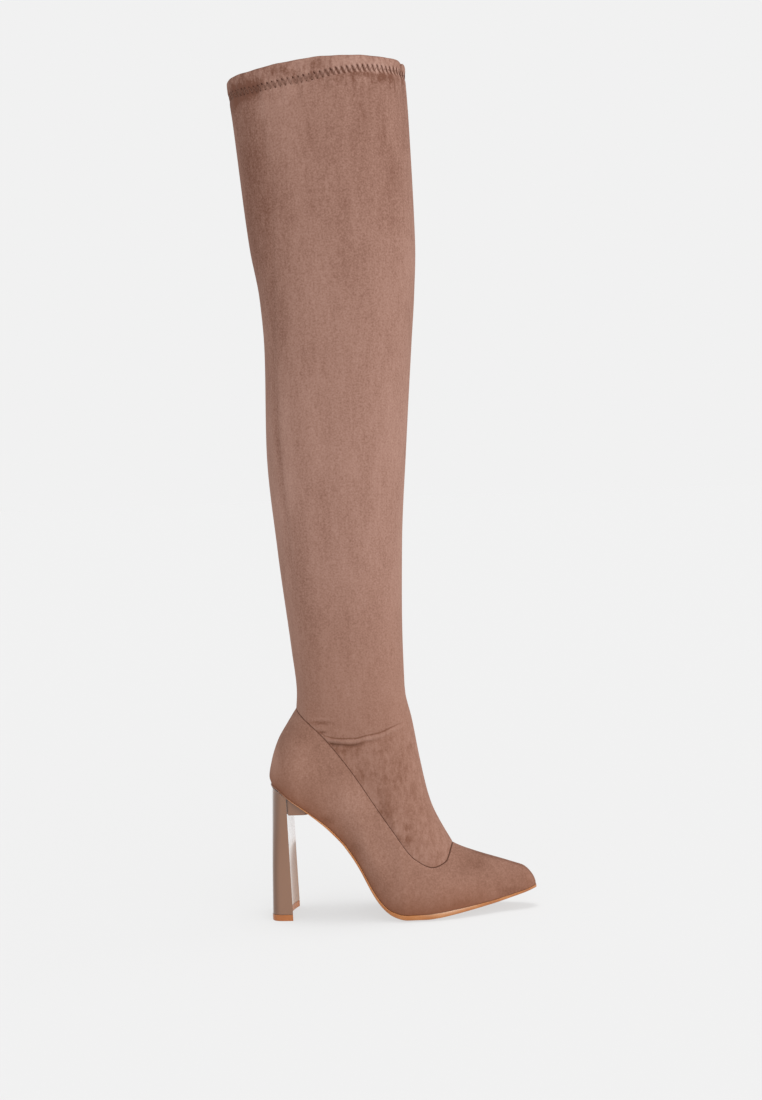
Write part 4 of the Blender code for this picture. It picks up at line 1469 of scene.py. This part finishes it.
# Heel. A slim slab moulded in plastic and lacquered taupe: it flares to the floor, its back corners
# are rounded, its breast is hollowed, and a flange runs forward from it under the heel seat.
LIFT_HEIGHT = 5.4
SEAT_HEIGHT = 105.0
FLANGE_UNDERSIDE = 88.3
FLANGE_TOP = 100.0
FLANGE_DROP = 0.2
FLANGE_GROOVE = 0.8
WEB_INSET = 1.8
SEAT_GAP = 0.06
FLANGE_FRONT = 29.5
FLANGE_HALF = 20.4
FLANGE_SQUARE = 8.0
HEEL_COLUMNS = 96
HEEL_LEVELS = 60
EDGE_BREAK = 0.45
EDGE_STEPS = 3
EDGE_ANGLE = 40.0
Slab = namedtuple("Slab", "level back front half square hollow")
HEEL = (
    Slab(0.0, -4.8, 13.8, 22.5, 5.0, 4.5),
    Slab(0.35, -3.9, 13.0, 22.0, 4.4, 4.2),
    Slab(0.5, -3.5, 12.7, 21.9, 3.8, 3.0),
    Slab(0.62, -3.2, 12.45, 21.85, 3.3, 1.4),
    Slab(0.7, -3.0, 12.3, 21.8, 3.0, 0.9),
    Slab(0.88, -2.6, 12.0, 21.6, 2.5, 0.6),
    Slab(1.0, -2.4, 11.8, 21.4, 2.1, 0.5),
)
heel_back, heel_front, heel_half = curves(HEEL, "level", "back", "front", "half")
heel_square, heel_hollow = curves(HEEL, "level", "square", "hollow")
TURN = np.linspace(0.0, np.pi, HEEL_COLUMNS + 1)


def rounded(half, square):
    """Offsets across and along of a half outline with rounded corners, as shares of its reach."""
    y = half * np.sign(np.cos(TURN)) * np.abs(np.cos(TURN)) ** (2.0 / square)
    return y, np.sin(TURN) ** (2.0 / square)


def breast(level, y):
    """How far forward the heel's hollow front lies at a level."""
    return heel_front(level) - heel_hollow(level) * (1.0 - np.clip(y / heel_half(level), -1.0, 1.0) ** 2)


def slab_plan(level):
    """Plan of the heel at a level: rounded back, flat sides, and a hollow breast in front."""
    y, reach = rounded(heel_half(level), heel_square(level))
    back = heel_front(level) - (heel_front(level) - heel_back(level)) * reach
    return there_and_back(back, breast(level, y)), there_and_back(y, y)


def heel_top(x):
    return underside(x) - SEAT_GAP * slant(underside, x)


def break_edges(piece, width):
    """Takes the sharpness off a hard piece's edges."""
    bevel = piece.modifiers.new("edges", "BEVEL")
    bevel.width = width * MM
    bevel.segments = EDGE_STEPS
    bevel.limit_method = "ANGLE"
    bevel.angle_limit = np.radians(EDGE_ANGLE)
    bevel.harden_normals = True


def seat_block(y, back, front, underside_z, drop):
    """A block under the heel seat, from one line in front of the hollow breast to another."""
    rings = []
    for up in (0.0, 1.0):
        line = breast(blend(FLANGE_UNDERSIDE, FLANGE_TOP, up) / SEAT_HEIGHT, y)
        x = there_and_back(back(line), front(line))
        z = blend(underside_z, heel_top(x) - drop, up)
        rings.append(np.stack((x, there_and_back(y, y), z), axis=1))
    return np.array(rings)


def flange_back(line):
    return line + FLANGE_GROOVE


def flange_front(line):
    return blend(line + FLANGE_GROOVE, FLANGE_FRONT, flange_reach)


def web_back(line):
    return line - WEB_INSET


def web_front(line):
    return line + FLANGE_GROOVE + WEB_INSET


levels = np.linspace(0.0, 1.0, HEEL_LEVELS)
slab = []
for level in levels:
    x, y = slab_plan(level)
    slab.append(np.stack((x, y, blend(LIFT_HEIGHT, heel_top(x), level)), axis=1))
flange_y, flange_reach = rounded(FLANGE_HALF, FLANGE_SQUARE)
web_y, _ = rounded(FLANGE_HALF - WEB_INSET, FLANGE_SQUARE)
flange = seat_block(flange_y, flange_back, flange_front, FLANGE_UNDERSIDE, FLANGE_DROP)
web = seat_block(web_y, web_back, web_front, FLANGE_UNDERSIDE + FLANGE_GROOVE, FLANGE_GROOVE)
heel_slab = skin_mesh("heel_slab", np.array(slab), flange, web, capped=True)
break_edges(heel_slab, EDGE_BREAK)

TAUPE = (0.245, 0.113, 0.058)
TAUPE_DEEP = (0.215, 0.092, 0.042)
TAUPE_PAINTED_SHADE = (0.16, 0.062, 0.022)
TAUPE_PAINTED_LIGHT = (0.36, 0.185, 0.095)
REFLECTION_WHITE = (1.0, 0.98, 0.98)
REFLECTION_WARM = (0.72, 0.58, 0.48)
LACQUER_DRIFT = Grain(40.0, (1.0, 1.0, 3.0))
LACQUER_PEEL = Grain(3.0, detail=1.0)
PEEL_DEPTH = 0.012
DRIFT_RANGE = (0.3, 0.7)
GRAZING_RANGE = (0.64, 0.86)

# Painted shade darkens the lacquer beside the back's rounded corners, and the web in the groove is
# painted dark for the shade there. The breast is painted paler low down in its hollow, as lit, and above
# that carries a painted reflection of the pale room, which the whole heel takes on at grazing angles.
CORNER_SHADE_MIDDLE = 0.75
CORNER_SHADE_WIDTH = 0.3
HOLLOW_TOP = 0.61
HOLLOW_FADE = 0.13
BREAST_REFLECTION_GAIN = 0.28
_, corner_reach = rounded(1.0, heel_square(0.5))
pooled = np.append(bell(corner_reach - CORNER_SHADE_MIDDLE, CORNER_SHADE_WIDTH), np.zeros(HEEL_COLUMNS - 1))
flange_unshaded, web_painted_shade = np.zeros(flange[..., 0].size), np.ones(web[..., 0].size)
mark(heel_slab, "pooled", np.concatenate((np.tile(pooled, HEEL_LEVELS), flange_unshaded, web_painted_shade)))
in_breast = np.append(np.zeros(HEEL_COLUMNS + 1), np.ones(HEEL_COLUMNS - 1))
hollow_share = ease((HOLLOW_TOP - levels[:, None]) / HOLLOW_FADE)
mark(heel_slab, "hollow", hollow_share * in_breast)
mark(heel_slab, "breast_top", (1.0 - hollow_share) * in_breast)
lacquer = Finish("taupe_lacquer", {
    "Roughness": 0.12,
    "Specular IOR Level": 0.5,
    "Coat Weight": 1.0,
    "Coat Roughness": 0.04,
    "Coat IOR": 1.5,
})
in_hollow = lacquer.attribute("hollow")
taupe = lacquer.mix(lacquer.spread(lacquer.noise(LACQUER_DRIFT), *DRIFT_RANGE), TAUPE_DEEP, TAUPE)
taupe = lacquer.mix(lacquer.attribute("pooled"), taupe, TAUPE_PAINTED_SHADE)
taupe = lacquer.mix(in_hollow, taupe, TAUPE_PAINTED_LIGHT)
painted_reflection = lacquer.mix(in_hollow, REFLECTION_WHITE, REFLECTION_WARM)
# The painted reflection at grazing angles, stronger on the breast above its hollow.
grazing = lacquer.add("ShaderNodeLayerWeight").outputs["Facing"]
grazing = lacquer.plus(grazing, lacquer.times(lacquer.attribute("breast_top"), BREAST_REFLECTION_GAIN))
lacquer.shade("Base Color", lacquer.mix(lacquer.spread(grazing, *GRAZING_RANGE), taupe, painted_reflection))
lacquer.shade("Coat Normal", lacquer.bump(lacquer.noise(LACQUER_PEEL), PEEL_DEPTH))
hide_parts("heel_block")
dress(heel_slab, "heel_lacquer", lacquer)


# Heel lift. The tan rubber top piece, cut to the heel's foot and pinned under it.
LIFT_EDGE = 0.35
LIFT_TAN = (0.42, 0.135, 0.034)
LIFT_LIGHT = (0.49, 0.18, 0.055)
LIFT_RUBBED = (0.33, 0.10, 0.024)
x, y = slab_plan(0.0)
lift = np.array([np.stack((x, y, np.full_like(x, z)), axis=1) for z in (0.0, LIFT_HEIGHT - GAP)])
top_piece = skin_mesh("top_piece", lift, capped=True)
break_edges(top_piece, LIFT_EDGE)
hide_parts("heel_lift")
dress(top_piece, "lift_tan", tan_rubber("lift_tan_rubber", LIFT_LIGHT, LIFT_TAN, LIFT_RUBBED))


# Studio. A pale floor that runs on into a pale background, soft light from the front right, and the
# camera of the photograph, a little above the knee of the boot and slightly rolled.
FLOOR_HALF = 12.0
FLOOR_DROP = 0.1
FLOOR_PALE = (0.12, 0.12, 0.12, 1.0)
FLOOR_GLOW = 0.632
BACKGROUND = 0.88
AMBIENT = 0.50
floor_mesh = bpy.data.meshes.new("floor")
floor_corners = [
    (-FLOOR_HALF, -FLOOR_HALF, -FLOOR_DROP * MM),
    (FLOOR_HALF, -FLOOR_HALF, -FLOOR_DROP * MM),
    (FLOOR_HALF, FLOOR_HALF, -FLOOR_DROP * MM),
    (-FLOOR_HALF, FLOOR_HALF, -FLOOR_DROP * MM),
]
floor_mesh.from_pydata(floor_corners, [], [(0, 1, 2, 3)])
floor = put("floor", floor_mesh)
paper = Finish("floor_paper", {
    "Base Color": FLOOR_PALE,
    "Roughness": 1.0,
    "Specular IOR Level": 0.0,
    "Emission Color": (1.0, 1.0, 1.0, 1.0),
    "Emission Strength": FLOOR_GLOW,
})
floor_mesh.materials.append(paper.material)

# The room is as bright as the paper where it is seen or mirrored, and dimmer as a light.
world = bpy.data.worlds.new("studio")
bpy.context.scene.world = world
world.use_nodes = True
ray = add_node(world.node_tree, "ShaderNodeLightPath").outputs
seen = add_node(world.node_tree, "ShaderNodeMath",
                {0: ray["Is Camera Ray"], 1: ray["Is Glossy Ray"]}, operation="MAXIMUM")
strength = add_node(world.node_tree, "ShaderNodeMapRange",
                    {"Value": seen.outputs["Value"], "To Min": AMBIENT, "To Max": BACKGROUND})
feed(world.node_tree.nodes["Background"],
     {"Color": (1.0, 1.0, 1.0, 1.0), "Strength": strength.outputs["Result"]})

Lamp = namedtuple("Lamp", "name towards strength spread")
LAMPS = (
    Lamp("right_side", (1.0, -0.15, 0.25), 2.1, 100.0),
    Lamp("front", (0.1, -1.0, 0.25), 0.85, 100.0),
    Lamp("softbox", (0.25, -0.75, 0.6), 0.3, 24.0),
    Lamp("overhead", (0.0, 0.0, 1.0), 1.4, 14.0),
    Lamp("overhead_wide", (0.0, 0.0, 1.0), 2.4, 40.0),
)
lamps = {}
for lamp in LAMPS:
    light = bpy.data.lights.new(lamp.name, "SUN")
    light.energy = lamp.strength
    light.angle = np.radians(lamp.spread)
    sun = put(lamp.name, light)
    sun.rotation_mode = "QUATERNION"
    sun.rotation_quaternion = Vector(lamp.towards).to_track_quat("Z", "Y")
    lamps[lamp.name] = sun

# The overhead lamps only draw the shadow of foot and heel on the paper.
lit_paper = bpy.data.collections.new("lit_paper")
lit_paper.objects.link(floor)
shadow_casters = bpy.data.collections.new("shadow_casters")
for piece in (sole_sheet, suede_upper, heel_slab, top_piece):
    shadow_casters.objects.link(piece)
for name in ("overhead", "overhead_wide"):
    lamps[name].light_linking.receiver_collection = lit_paper
    lamps[name].light_linking.blocker_collection = shadow_casters

FRAME_WIDTH_PX, FRAME_HEIGHT_PX = 762, 1100
MM_PER_PX = 0.83
SENSOR = 36.0
CAMERA_SPOT = Vector((198.5, -1350.0, 387.0))
CAMERA_AIM = Vector((97.0, 0.0, 305.0))
CAMERA_ROLL = np.radians(-2.2)
CLIP_NEAR = 0.05
CLIP_FAR = 100.0
sight = CAMERA_AIM - CAMERA_SPOT
camera_data = bpy.data.cameras.new("camera")
camera_data.sensor_width = SENSOR
camera_data.lens = SENSOR * sight.length / MM_PER_PX / max(FRAME_WIDTH_PX, FRAME_HEIGHT_PX)
camera_data.clip_start = CLIP_NEAR
camera_data.clip_end = CLIP_FAR
camera = put("camera", camera_data)
turned = sight.to_track_quat("-Z", "Y").to_matrix().to_4x4() @ Matrix.Rotation(CAMERA_ROLL, 4, "Z")
camera.matrix_world = Matrix.Translation((CAMERA_SPOT + Vector((HEEL_AXIS, 0.0, 0.0))) * MM) @ turned
bpy.context.scene.camera = camera
bpy.context.scene.view_settings.view_transform = "Standard"
